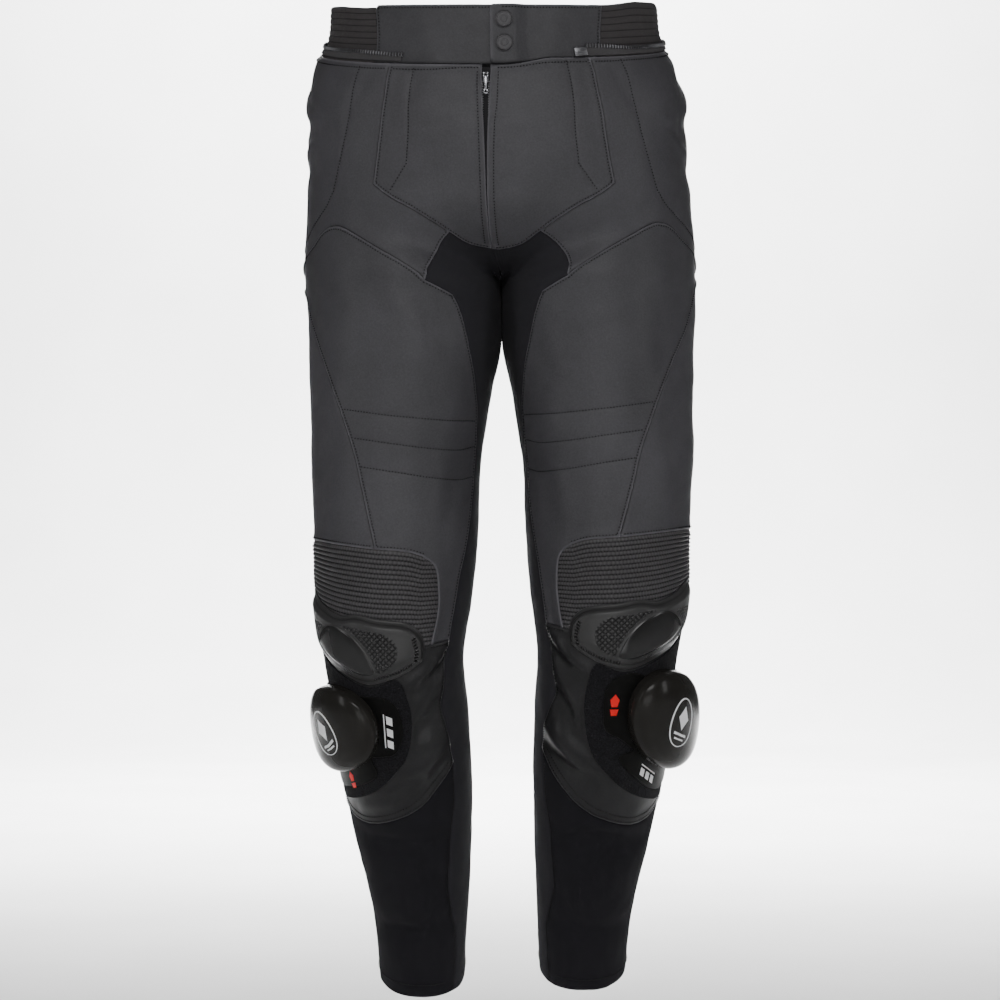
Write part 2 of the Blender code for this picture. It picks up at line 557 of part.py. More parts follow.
def closed_wall(name, side, flat, triangles, outer, inner, material, gap=SEAM_GAP / 2, plain=None):
    """A wall between two offsets of the cloth, `outer` and `inner`, over a patch of triangles.

    `plain` holds other triangles for the inner face, over the same ring, from plain_inside."""
    points, normals = on_cloth(side, flat)
    if side > 0:
        triangles = [tri[::-1] for tri in triangles]
    ring = boundary_ring(triangles)
    if gap:
        points = draw_in(points, normals, ring, gap)
    outer_points = points + normals * np.broadcast_to(outer, len(points))[:, None]
    inner_points = points + normals * np.broadcast_to(inner, len(points))[:, None]

    shell = bmesh.new()
    used = sorted({corner for tri in triangles for corner in tri})
    top = {corner: shell.verts.new(outer_points[corner]) for corner in used}
    for tri in triangles:
        shell.faces.new([top[corner] for corner in tri])
    if plain is None:
        low = {corner: shell.verts.new(inner_points[corner]) for corner in used}
        for tri in triangles:
            shell.faces.new([low[corner] for corner in reversed(tri)])
    else:
        low = {corner: shell.verts.new(inner_points[corner]) for corner in ring}
        outline_order, plain_flat, plain_triangles, sources = plain
        places, across = on_cloth(side, plain_flat)
        depth = float(np.min(inner))
        corners = []
        for place, normal, source in zip(places, across, sources):
            on_ring = [k for k in source if k < len(ring)]
            corners.append(low[outline_order[on_ring[0]]] if on_ring
                           else shell.verts.new(place + normal * depth))
        for tri in plain_triangles:
            order = tri if side > 0 else tri[::-1]
            shell.faces.new([corners[corner] for corner in order])
    for k, here in enumerate(ring):
        after = ring[(k + 1) % len(ring)]
        if tuple(flat[here]) < tuple(flat[after]):
            shell.faces.new([top[after], top[here], low[here]])
            shell.faces.new([top[after], low[here], low[after]])
        else:
            shell.faces.new([top[after], top[here], low[after]])
            shell.faces.new([top[here], low[here], low[after]])
    mesh = bpy.data.meshes.new(name)
    shell.to_mesh(mesh)
    shell.free()
    mesh.shade_smooth()
    mesh.set_sharp_from_angle(angle=math.radians(50))
    return new_object(name, mesh, material)


def plain_inside(flat, triangles):
    """Coarser triangles over the same outline, for the plain inside of a ribbed panel."""
    ring = boundary_ring(triangles)
    outline = [flat[corner] for corner in ring]
    net = clear_of(inner_places(), outline, 12 * MM)
    net = [place for place, off in zip(net, distance_to_outline(net, outline)) if off < 0]
    places, faces, owners, sources = triangulate([outline], net)
    return ring, places, [face for face, owner in zip(faces, owners) if owner], sources


def build_half(side_name):
    """All the leg, hip and seat panels of one half, with what lies on its knee."""
    side = SIDES[side_name]
    panel_names = list(PANELS)
    outlines = [panel_outline(panel) for panel in PANELS.values()]
    cup = smooth_curve(CUP_OUTLINE, SEAM_STEP, closed=True)
    patch = smooth_curve(PATCH_OUTLINE, SEAM_STEP, closed=True)
    centre = SLIDER_CENTRE[side_name]
    base_places = [(centre[0] + around, centre[1] + down) for around, down in BASE_OUTLINE]
    base = smooth_curve(base_places, SEAM_STEP, closed=True)
    slider = slider_outline(centre)
    overlays = {"knee_cup": cup, "loop_patch": patch, "slider_base": base, "knee_slider": slider}

    fixed = [place for outline in outlines + list(overlays.values()) for place in outline]
    rings = [place for scale, count in DOME_RINGS.items()
             for place in slider_outline(centre, scale, count)] + [centre]
    cup_net = smooth_curve([(0.33 + (around - 0.33) * 0.72, 0.613 + (down - 0.613) * 0.60)
                            for around, down in CUP_OUTLINE], SEAM_STEP, closed=True)
    ribs_outline = outlines[panel_names.index("knee_ribs")]
    ribs = [place for place in rib_places()
            if distance_to_outline([place], ribs_outline)[0] < -2.5 * MM
            and distance_to_outline([place], cup)[0] > 2.5 * MM]
    ribs = clear_of(ribs, fixed, 1.6 * MM)
    special = rings + clear_of(cup_net, fixed + rings, 7 * MM)
    special += clear_of(crease_places(side_name), fixed + special + ribs, 7 * MM)
    net = [place for place in clear_of(inner_places(), fixed + special + ribs, 13 * MM)
           if distance_to_outline([place], ribs_outline)[0] > 0
           or distance_to_outline([place], cup)[0] < 0]
    flat, faces, owners, _ = triangulate(outlines + list(overlays.values()), special + ribs + net)

    for number, name in enumerate(panel_names):
        panel = PANELS[name]
        patch_faces = [face for face, owner in zip(faces, owners) if number in owner]
        height, plain = 0.0, None
        if name == "knee_ribs":
            height = rib_height(flat, ribs_outline, cup)
            plain = plain_inside(flat, patch_faces)
        closed_wall(f"{name}_{side_name}", side, flat, patch_faces, height, -panel.wall,
                    panel.material, plain=plain)

    places = np.array(flat)
    in_cup = -distance_to_outline(flat, cup)
    cup_height = CUP_EDGE + (CUP_CROWN - CUP_EDGE) * smooth_step(in_cup, 0, CUP_SLOPE)
    spread = np.abs(places - centre) / (SLIDER_HALF_AROUND, SLIDER_HALF_DOWN)
    ring_of = (spread**SLIDER_POWER).sum(1) ** (1 / SLIDER_POWER)
    dome = SLIDER_RIM + (SLIDER_CROWN - SLIDER_RIM) * np.clip(1 - ring_of**2.4, 0, 1) ** 0.7
    sheet = PATCH_WALL + SEAM_GAP
    layers = {
        "knee_cup": (SEAM_GAP, cup_height, "moulded_rubber"),
        "loop_patch": (SEAM_GAP, PATCH_WALL, "loop_pile"),
        "slider_base": (SEAM_GAP + sheet, PATCH_WALL, "loop_pile"),
        "knee_slider": (SEAM_GAP + 2 * sheet, dome, "slider_plastic"),
    }
    for number, name in enumerate(overlays, start=len(outlines)):
        lift, height, material = layers[name]
        patch_faces = [face for face, owner in zip(faces, owners) if number in owner]
        closed_wall(f"{name}_{side_name}", side, flat, patch_faces, lift + height, lift, material,
                    gap=0)


# ---------------------------------------------------------------- the waist
def strip_grid(columns, rows):
    """Flat places and triangles of a strip; each column is the strip's `around` at both edges."""
    flat = []
    for at_top, at_foot in columns:
        for row in rows:
            t = (row - rows[0]) / (rows[-1] - rows[0])
            flat.append((at_top + (at_foot - at_top) * t, row))
    triangles = []
    count = len(rows)
    for column in range(len(columns) - 1):
        for row in range(count - 1):
            a = column * count + row
            triangles += [(a, a + count, a + count + 1), (a, a + count + 1, a + 1)]
    return flat, triangles


def even_columns(start, end, step=WAIST_STEP):
    """Evenly spaced columns between two edges, each given at the strip's top and foot."""
    pieces = max(1, round(abs(end[0] - start[0]) / step))
    return [tuple(np.array(start) + (np.array(end) - np.array(start)) * k / pieces)
            for k in range(pieces + 1)]


def tab_lift(flat):
    """How far the free tab rides over the other front of the band."""
    around = np.array(flat)[:, 0]
    return (BAND_WALL + SEAM_GAP) * (1 - smooth_step(around, TAB_FLAT, TAB_FOOT))


def build_band():
    """Waistband: two leather fronts that lap, ribbed elastic sides and a leather back."""
    edge = SEAM_GAP / 2
    rows = (0.0, 0.015, 0.031, BAND_DEPTH)
    outer, inner = BAND_PROUD, BAND_PROUD - BAND_WALL
    left = even_columns((TAB_END, TAB_END), (TAB_FLAT, TAB_FLAT), 0.008)
    left += even_columns((TAB_FLAT, TAB_FLAT), (TAB_FOOT, TAB_FOOT), 0.011)[1:]
    left += even_columns((TAB_FOOT, TAB_FOOT), BAND_FRONT_END)[1:]
    flat, triangles = strip_grid(left, rows)
    closed_wall("waistband_front_left", 1, flat, triangles, outer + tab_lift(flat),
                inner + tab_lift(flat), "leather_front", gap=edge)
    right = even_columns((UNDERLAP_END, UNDERLAP_END), (0.0, 0.0), 0.011)
    right += even_columns((0.0, 0.0), BAND_FRONT_END)[1:]
    flat, triangles = strip_grid(right, rows)
    closed_wall("waistband_front_right", -1, flat, triangles, outer, inner, "leather_front", gap=edge)
    back = (BAND_BACK_START, BAND_BACK_START), (2 - BAND_BACK_START, 2 - BAND_BACK_START)
    flat, triangles = strip_grid(even_columns(*back), rows)
    closed_wall("waistband_back", 1, flat, triangles, outer, inner, "leather_side", gap=edge)

    ribs_foot = ZIP_ROWS[0] - 1 * MM
    rib_rows = [ribs_foot * half / (2 * ELASTIC_RIBS) for half in range(2 * ELASTIC_RIBS + 1)]
    flat, triangles = strip_grid(even_columns(BAND_FRONT_END, back[0], 0.038),
                                 rib_rows + [BAND_DEPTH])
    down = np.array(flat)[:, 1]
    phase = np.clip(down / ribs_foot, 0, 1) * ELASTIC_RIBS
    ridges = ELASTIC_RIB_HEIGHT * (0.5 - 0.5 * np.cos(2 * math.pi * phase))
    for side_name, side in SIDES.items():
        closed_wall(f"waist_elastic_{side_name}", side, flat, triangles, ridges, -ELASTIC_WALL,
                    "ribbed_elastic", gap=edge)


def build_zips():
    """Tapes of the connection zip, round the waist, and of the fly zip, behind its slit."""
    flat, triangles = strip_grid(even_columns((ZIP_START, ZIP_START), (ZIP_END, ZIP_END)),
                                 ZIP_ROWS)
    lift = BAND_PROUD + ZIP_CLEARANCE
    closed_wall("waist_zip", 1, flat, triangles, lift + ZIP_WALL, lift, "dark_metal", gap=0)
    behind = LEATHER + FLY_ZIP_DEPTH
    rows = np.linspace(*FLY_ZIP_ROWS, 10)
    flat, triangles = strip_grid(even_columns((-FLY_ZIP_HALF,) * 2, (FLY_ZIP_HALF,) * 2, 0.006), rows)
    closed_wall("fly_zip", -1, flat, triangles, -behind, -behind - 1.2 * MM, "stretch_cloth", gap=0)


def seat_on_cloth(side, around, down, lift):
    """A frame on the cloth: X along the waist, Y up the cloth, Z out of it, `lift` above it."""
    points, normals = on_cloth(side, [(around, down), (around, down + 2 * MM)])
    out = Vector(normals[0])
    up = (Vector(points[0]) - Vector(points[1])).normalized()
    across = up.cross(out).normalized()
    frame = Matrix((across, out.cross(across), out)).transposed().to_4x4()
    frame.translation = Vector(points[0]) + out * lift
    return frame


def turned_button(name, frame, profile, material):
    """A round piece turned from a profile of (radius, height), closed on its axis."""
    mesh = bpy.data.meshes.new(name)
    ring = bmesh.new()
    corners = [ring.verts.new((radius, 0, height)) for radius, height in profile]
    for start, end in zip(corners, corners[1:]):
        ring.edges.new((start, end))
    ring.to_mesh(mesh)
    ring.free()
    piece = new_object(name, mesh, material)
    turn = piece.modifiers.new("Turn", "SCREW")
    turn.steps = turn.render_steps = 24
    turn.use_merge_vertices = True
    turn.merge_threshold = 0.01 * MM
    piece.matrix_world = frame
    return piece


def build_snaps():
    """Two press snaps through the tab, each a shallow cap with a raised rim."""
    lift = BAND_PROUD + BAND_WALL + 2 * SEAM_GAP
    profile = ((0.0, 1.7), (5.6, 1.6), (6.3, 2.3), (7.6, 2.3), (8.7, 1.2), (8.7, 0.0), (0.0, 0.0))
    scale = SNAP_RADIUS / 8.7
    for name, down in SNAP_DOWNS.items():
        frame = seat_on_cloth(1, SNAP_AROUND, down, lift)
        turned_button(name, frame, [(radius * scale, height * MM) for radius, height in profile],
                      "dark_metal")


def box_mesh(low, high, bevel=0.0):
    """A box between two corners, with its edges rounded off by `bevel`, in a bmesh."""
    block = bmesh.new()
    bmesh.ops.create_cube(block, size=1)
    low, high = Vector(low), Vector(high)
    size = high - low
    bmesh.ops.scale(block, vec=size, verts=block.verts)
    bmesh.ops.translate(block, vec=(low + high) / 2, verts=block.verts)
    if bevel:
        bmesh.ops.bevel(block, geom=block.edges[:], offset=bevel, segments=1, affect="EDGES")
    return block


def pin_mesh(radius, half_length, offset_x=0.0, segments=14):
    """A round pin along X."""
    pin = bmesh.new()
    bmesh.ops.create_cone(pin, cap_ends=True, segments=segments, radius1=radius, radius2=radius,
                          depth=2 * half_length)
    bmesh.ops.rotate(pin, verts=pin.verts, matrix=Matrix.Rotation(math.pi / 2, 3, "Y"))
    bmesh.ops.translate(pin, vec=(offset_x, 0, 0), verts=pin.verts)
    return pin


def joined(name, blocks, frame, material):
    """One solid from overlapping blocks, each given in `frame`."""
    pieces = []
    for number, block in enumerate(blocks):
        mesh = bpy.data.meshes.new(f"{name}_{number}")
        block.to_mesh(mesh)
        block.free()
        pieces.append(mesh)
    piece = new_object(name, pieces[0], material)
    piece.matrix_world = frame
    for mesh in pieces[1:]:
        cutter = bpy.data.objects.new(mesh.name, mesh)
        cutters.objects.link(cutter)
        cutter.matrix_world = frame
        cutter.hide_render = True
        cutter.display_type = "WIRE"
        union = piece.modifiers.new("Join", "BOOLEAN")
        union.operation = "UNION"
        union.object = cutter
    return piece


def build_fly_slider():
    """The fly zip's slider in the slit, and its pull tab, hinged on the slider's bridge."""
    frame = seat_on_cloth(-1, 0.0, SLIDER_DOWN, 0.0)
    out = frame.col[2].xyz
    out = Vector((0, out.y, out.z)).normalized()
    up = out.cross(Vector((1, 0, 0)))
    turned = Matrix((Vector((1, 0, 0)), up, out)).transposed().to_4x4()
    turned.translation = frame.translation

    half_width, body_low, body_high = 2.9 * MM, -2.4 * MM, 1.2 * MM
    hinge_up, hinge_out = 3.0 * MM, 3.4 * MM
    body = box_mesh((-half_width, -5.5 * MM, body_low), (half_width, 6 * MM, body_high), 0.6 * MM)
    post = box_mesh((-0.9 * MM, hinge_up - 0.9 * MM, 0.6 * MM), (0.9 * MM, hinge_up + 0.9 * MM,
                                                               hinge_out))
    pin = pin_mesh(1.1 * MM, 1.0 * MM)
    bmesh.ops.translate(pin, vec=(0, hinge_up, hinge_out), verts=pin.verts)
    joined("fly_slider", [body, post, pin], turned, "dark_metal")

    hinge = turned @ Matrix.Translation((0, hinge_up, hinge_out))
    rest = hinge @ Matrix.Rotation(math.radians(5), 4, "X")
    arm_in, arm_out, ear = 1.3 * MM, 2.4 * MM, 1.8 * MM
    plate = box_mesh((-2.6 * MM, -22 * MM, -0.6 * MM), (2.6 * MM, -2.4 * MM, 0.6 * MM), 0.4 * MM)
    blocks = [plate]
    for way in (-1, 1):
        low, high = sorted((way * arm_in, way * arm_out))
        blocks.append(box_mesh((low, -4 * MM, -0.5 * MM), (high, -0.4 * MM, 0.5 * MM)))
        blocks.append(pin_mesh(ear, (arm_out - arm_in) / 2, (low + high) / 2))
    joined("fly_pull", blocks, rest, "dark_metal")
    return hinge.translation


def build_zip_box():
    """The metal box at the connection zip's open end."""
    middle = (ZIP_ROWS[0] + ZIP_ROWS[1]) / 2
    lift = BAND_PROUD + ZIP_CLEARANCE
    frame = seat_on_cloth(1, ZIP_BOX_AROUND, middle, lift)
    block = box_mesh((-6.5 * MM, -4.5 * MM, 0), (6.5 * MM, 4.5 * MM, 3.4 * MM), 0.8 * MM)
    joined("waist_zip_box", [block], frame, "dark_metal")


# ---------------------------------------------------------------- scene
def start_scene():
    """An empty scene with the trousers' collection, one for cutters, and the materials."""
    for piece in list(bpy.data.objects):
        bpy.data.objects.remove(piece, do_unlink=True)
    made = []
    for name in ("motorcycle_trousers", "cutters"):
        group = bpy.data.collections.new(name)
        bpy.context.scene.collection.children.link(group)
        made.append(group)
    finishes = {}
    for name, (colour, roughness, metallic) in COLOURS.items():
        material = bpy.data.materials.new(name)
        material.use_nodes = True
        shader = material.node_tree.nodes["Principled BSDF"]
        shader.inputs["Base Color"].default_value = (*colour, 1)
        shader.inputs["Roughness"].default_value = roughness
        shader.inputs["Metallic"].default_value = metallic
        finishes[name] = material
    return made[0], made[1], finishes


collection, cutters, materials = start_scene()
for half in SIDES:
    build_half(half)
build_band()
build_zips()
build_snaps()
build_zip_box()
PULL_HINGE = build_fly_slider()
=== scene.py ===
"""Motorcycle trousers, dressed: leather, stretch cloth, ribs, cups, sliders, zips, snaps, stitching.

The cloth is worked out from the same tables as the frame's solids. A place on the cloth is
(around, down): `down` is the distance below the waist rim at the side, `around` runs over one half
from the centre front (0) over the outer side (0.5) to the centre back (1), and below the crotch
once round the leg. Everything is in metres, the front faces -Y and +X is the wearer's left.
"""
import math
from collections import namedtuple
from functools import cache

import bmesh
import bpy
import numpy as np
from bpy.props import FloatProperty, FloatVectorProperty, IntProperty, PointerProperty
from mathutils import Matrix, Vector
from mathutils.geometry import delaunay_2d_cdt
from mathutils.kdtree import KDTree


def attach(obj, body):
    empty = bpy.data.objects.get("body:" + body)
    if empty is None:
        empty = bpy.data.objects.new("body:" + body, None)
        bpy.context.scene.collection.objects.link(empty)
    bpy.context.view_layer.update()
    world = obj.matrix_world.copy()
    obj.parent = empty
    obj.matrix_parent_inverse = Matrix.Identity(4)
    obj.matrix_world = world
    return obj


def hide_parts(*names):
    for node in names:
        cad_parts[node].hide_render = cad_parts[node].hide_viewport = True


bl_info = {
    "name": "Motorcycle trousers",
    "version": (1, 0, 0),
    "blender": (4, 5, 0),
    "location": "3D View > Sidebar > Trousers",
    "description": "Makes leather motorcycle trousers with their seams, ribs, cups and fasteners",
    "category": "Object",
}

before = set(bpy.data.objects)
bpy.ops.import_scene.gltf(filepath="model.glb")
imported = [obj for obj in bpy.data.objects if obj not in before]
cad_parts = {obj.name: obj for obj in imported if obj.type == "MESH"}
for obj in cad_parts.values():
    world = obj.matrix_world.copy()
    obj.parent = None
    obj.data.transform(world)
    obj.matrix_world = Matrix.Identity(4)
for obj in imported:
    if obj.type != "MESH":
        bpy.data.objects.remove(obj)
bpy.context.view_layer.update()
BODY = "trousers"
MM = 0.001


def places(*thousandths):
    """Places on the cloth, given in thousandths round and millimetres down."""
    return tuple((around / 1000, down / 1000) for around, down in thousandths)


# ------------------------------------------------------------------ the worn surface, in metres
WAIST_RIM_HEIGHT, BAND_DEPTH = 0.027, 0.046
FORK_DOWN, CROTCH_DOWN, HEM_DOWN = 0.195, 0.275, 0.970
LEG_GIRTH = 0.55                  # length of one turn of `around`, for laying the pattern out flat
WAIST_SEAM_RISE, KNEE_SEAM_SHIFT = 6 * MM, 0.020   # of the left front, of the right inner knee
NUDGE = 0.0008                    # a short step on the pattern, for reading slopes
SIDES = {"left": 1, "right": -1}

Section = namedtuple("Section", "down outer inner front back tilt lean turn slip")
# outer, inner: reach in X; front, back: in Y; tilt: rise of the ring from its middle to its back;
# lean: sideways shift; turn, slip: how far the right half's seams sit round and down.
SECTIONS = [Section(*row) for row in (
    (0.000, 0.1620, 0.0000, -0.104, 0.108, 0.125, -0.0075, 0.0075, 0.0000),
    (0.030, 0.1655, 0.0000, -0.108, 0.114, 0.200, -0.0068, 0.0075, 0.0000),
    (0.043, 0.1705, 0.0000, -0.110, 0.117, 0.225, -0.0064, 0.0075, 0.0000),
    (0.051, 0.1775, 0.0000, -0.111, 0.119, 0.238, -0.0062, 0.0075, 0.0000),
    (0.062, 0.1830, 0.0000, -0.113, 0.122, 0.230, -0.0060, 0.0078, 0.0000),
    (0.085, 0.1900, 0.0000, -0.116, 0.128, 0.200, -0.0054, 0.0080, 0.0000),
    (0.130, 0.1910, 0.0000, -0.120, 0.136, 0.100, -0.0043, 0.0090, 0.0000),
    (0.190, 0.1920, 0.0000, -0.119, 0.141, 0.030, -0.0028, 0.0095, 0.0005),
    (0.265, 0.1950, 0.0010, -0.113, 0.124, 0.000, -0.0010, 0.0080, 0.0030),
    (0.310, 0.1930, 0.0022, -0.114, 0.104, -0.030, 0.0000, 0.0070, 0.0022),
    (0.375, 0.1900, 0.0085, -0.117, 0.082, -0.080, 0.0000, 0.0060, 0.0030),
    (0.450, 0.1890, 0.0200, -0.122, 0.061, -0.100, 0.0005, 0.0070, 0.0040),
    (0.530, 0.1840, 0.0235, -0.131, 0.040, -0.060, 0.0005, 0.0085, 0.0050),
    (0.585, 0.1810, 0.0285, -0.138, 0.024, 0.060, 0.0000, 0.0085, 0.0060),
    (0.640, 0.1720, 0.0360, -0.136, 0.022, 0.220, -0.0010, 0.0085, 0.0065),
    (0.700, 0.1640, 0.0325, -0.116, 0.045, 0.340, 0.0000, 0.0085, 0.0050),
    (0.765, 0.1575, 0.0305, -0.088, 0.060, 0.380, 0.0010, 0.0085, 0.0010),
    (0.830, 0.1460, 0.0315, -0.056, 0.070, 0.380, 0.0012, 0.0085, 0.0000),
    (0.900, 0.1310, 0.0345, -0.022, 0.083, 0.380, 0.0010, 0.0085, 0.0015),
    (0.970, 0.1240, 0.0380, 0.009, 0.101, 0.380, 0.0010, 0.0085, 0.0035),
)]
TORSO_POWER, LEG_POWER = 0.80, 0.92

Crease = namedtuple("Crease", "side width height corners")
# A soft ridge, or a trough below zero, its width and height in mm, along a line
# through corners in thousandths round and mm down.
CREASES = [Crease(*row) for row in (
    # the deep ones, which the frame's solids have too
    ("both", 14, -4.5, ((420, 80), (620, 62))),
    ("both", 16, -5.0, ((400, 118), (640, 112))),
    ("both", 14, -3.5, ((380, 160), (620, 166))),
    ("both", 11, -6.0, ((130, 668), (225, 694))),
    ("both", 10, 5.0, ((115, 700), (215, 722))),
    ("right", 9, -4.0, ((125, 728), (240, 752))),
    ("left", 10, -4.0, ((120, 722), (230, 744))),
    ("both", 12, -4.0, ((140, 800), (400, 806))),
    ("both", 12, -4.5, ((160, 898), (440, 905))),
    ("both", 13, -4.5, ((660, 860), (860, 850))),
    ("both", 14, -6.0, ((660, 560), (920, 556))),
    ("both", 14, -6.0, ((660, 640), (900, 646))),
    ("both", 16, -5.5, ((700, 330), (930, 312))),
    # gathers at the hips
    ("both", 6, -1.6, ((330, 104), (400, 94), (480, 90))),
    ("both", 6, 1.4, ((325, 112), (400, 107), (500, 103))),
    ("both", 6, -1.6, ((345, 122), (420, 132), (500, 142))),
    ("both", 5, 1.3, ((335, 128), (410, 144), (480, 158))),
    ("right", 7, -1.2, ((128, 52), (100, 60), (108, 78))),
    ("both", 9, -1.4, ((205, 50), (215, 75), (240, 100))),
    # soft hollows of the thighs
    ("right", 17, -2.6, ((320, 262), (284, 288), (270, 325))),
    ("right", 10, -1.6, ((236, 284), (180, 338), (144, 368))),
    ("right", 12, 1.6, ((255, 290), (205, 340), (170, 380))),
    ("left", 16, -1.8, ((330, 290), (360, 330), (350, 380))),
    ("left", 14, -1.5, ((130, 330), (150, 380), (120, 405))),
    ("both", 13, -1.8, ((75, 455), (120, 480), (140, 530))),
    ("both", 12, -1.6, ((370, 430), (400, 470), (420, 510))),
    # the leather under the cup, drawn from the slider's patch to the inner seam
    ("both", 7, 4.0, ((222, 648), (178, 637.5), (142, 627), (114, 615))),
    ("both", 5, -3.0, ((206, 650), (162, 641.5), (126, 631), (112, 620))),
    ("right", 8, 3.0, ((206, 664), (172, 657), (137, 649), (118, 643))),
    ("right", 7, 2.0, ((215, 696), (172, 693), (134, 695))),
    ("right", 6, -2.2, ((278, 748), (236, 736), (190, 733))),
    ("right", 7, 2.6, ((362, 769), (276, 756), (226, 747), (180, 731))),
    ("left", 8, 3.2, ((132, 648), (154, 663), (180, 675), (198, 693))),
    ("left", 6, -2.4, ((126, 672), (150, 679), (176, 690), (200, 703))),
    ("left", 6, 2.4, ((110, 708), (141, 699), (190, 707), (250, 722))),
    ("left", 6, -1.8, ((140, 724), (192, 730), (246, 737), (293, 748))),
    # stretch cloth at the crotch, the shins and the hems
    ("both", 6, -2.4, ((20, 242), (12, 258), (2, 278))),
    ("both", 9, 1.8, ((50, 248), (40, 272), (22, 305))),
    ("right", 6, -2.0, ((370, 807), (294, 802), (236, 803))),
    ("right", 7, -2.0, ((200, 835), (240, 818), (330, 812))),
    ("right", 5, -2.2, ((370, 904), (290, 897), (238, 902))),
    ("left", 6, -2.4, ((185, 798), (246, 791), (307, 796))),
    ("left", 7, -1.8, ((240, 828), (300, 814), (383, 810))),
    ("left", 9, -1.6, ((180, 875), (260, 882), (330, 875))),
    ("both", 10, -1.6, ((170, 850), (200, 880), (300, 925))),
)]

# ------------------------------------------------------------------ the pattern
CENTRE_FRONT_END, CROTCH_POINT = (0.0, 0.2315), (0.0, CROTCH_DOWN)
YOKE_TOP, YOKE_CORNER = (0.162, BAND_DEPTH), (0.180, 0.182)
GUSSET_TOP, GUSSET_HIP = (0.062, 0.2220), (0.206, 0.2785)
THIGH_CORNER, THIGH_WING = (0.160, 0.2930), (0.560, 0.2680)
SIDE_TOP, SIDE_HIP = (0.600, BAND_DEPTH), (0.620, 0.2620)
KNEE_INNER, RIBS_FOOT, RIBS_CORNER = (0.107, 0.6110), (0.157, 0.6130), (0.189, 0.5430)
THIGH_END, RIBS_SIDE, FOOT_SIDE = (0.2725, 0.5375), (0.585, 0.5240), (0.585, 0.5985)
ARC_INNER, ARC_SIDE = (0.090, 0.7220), (0.612, 0.7600)
HEM_INNER, HEM_SIDE, HEM_BACK = (0.112, HEM_DOWN), (0.640, HEM_DOWN), (0.890, HEM_DOWN)
BACK_KNEE_SIDE, BACK_KNEE_INNER = (0.585, 0.6060), (0.890, 0.6120)

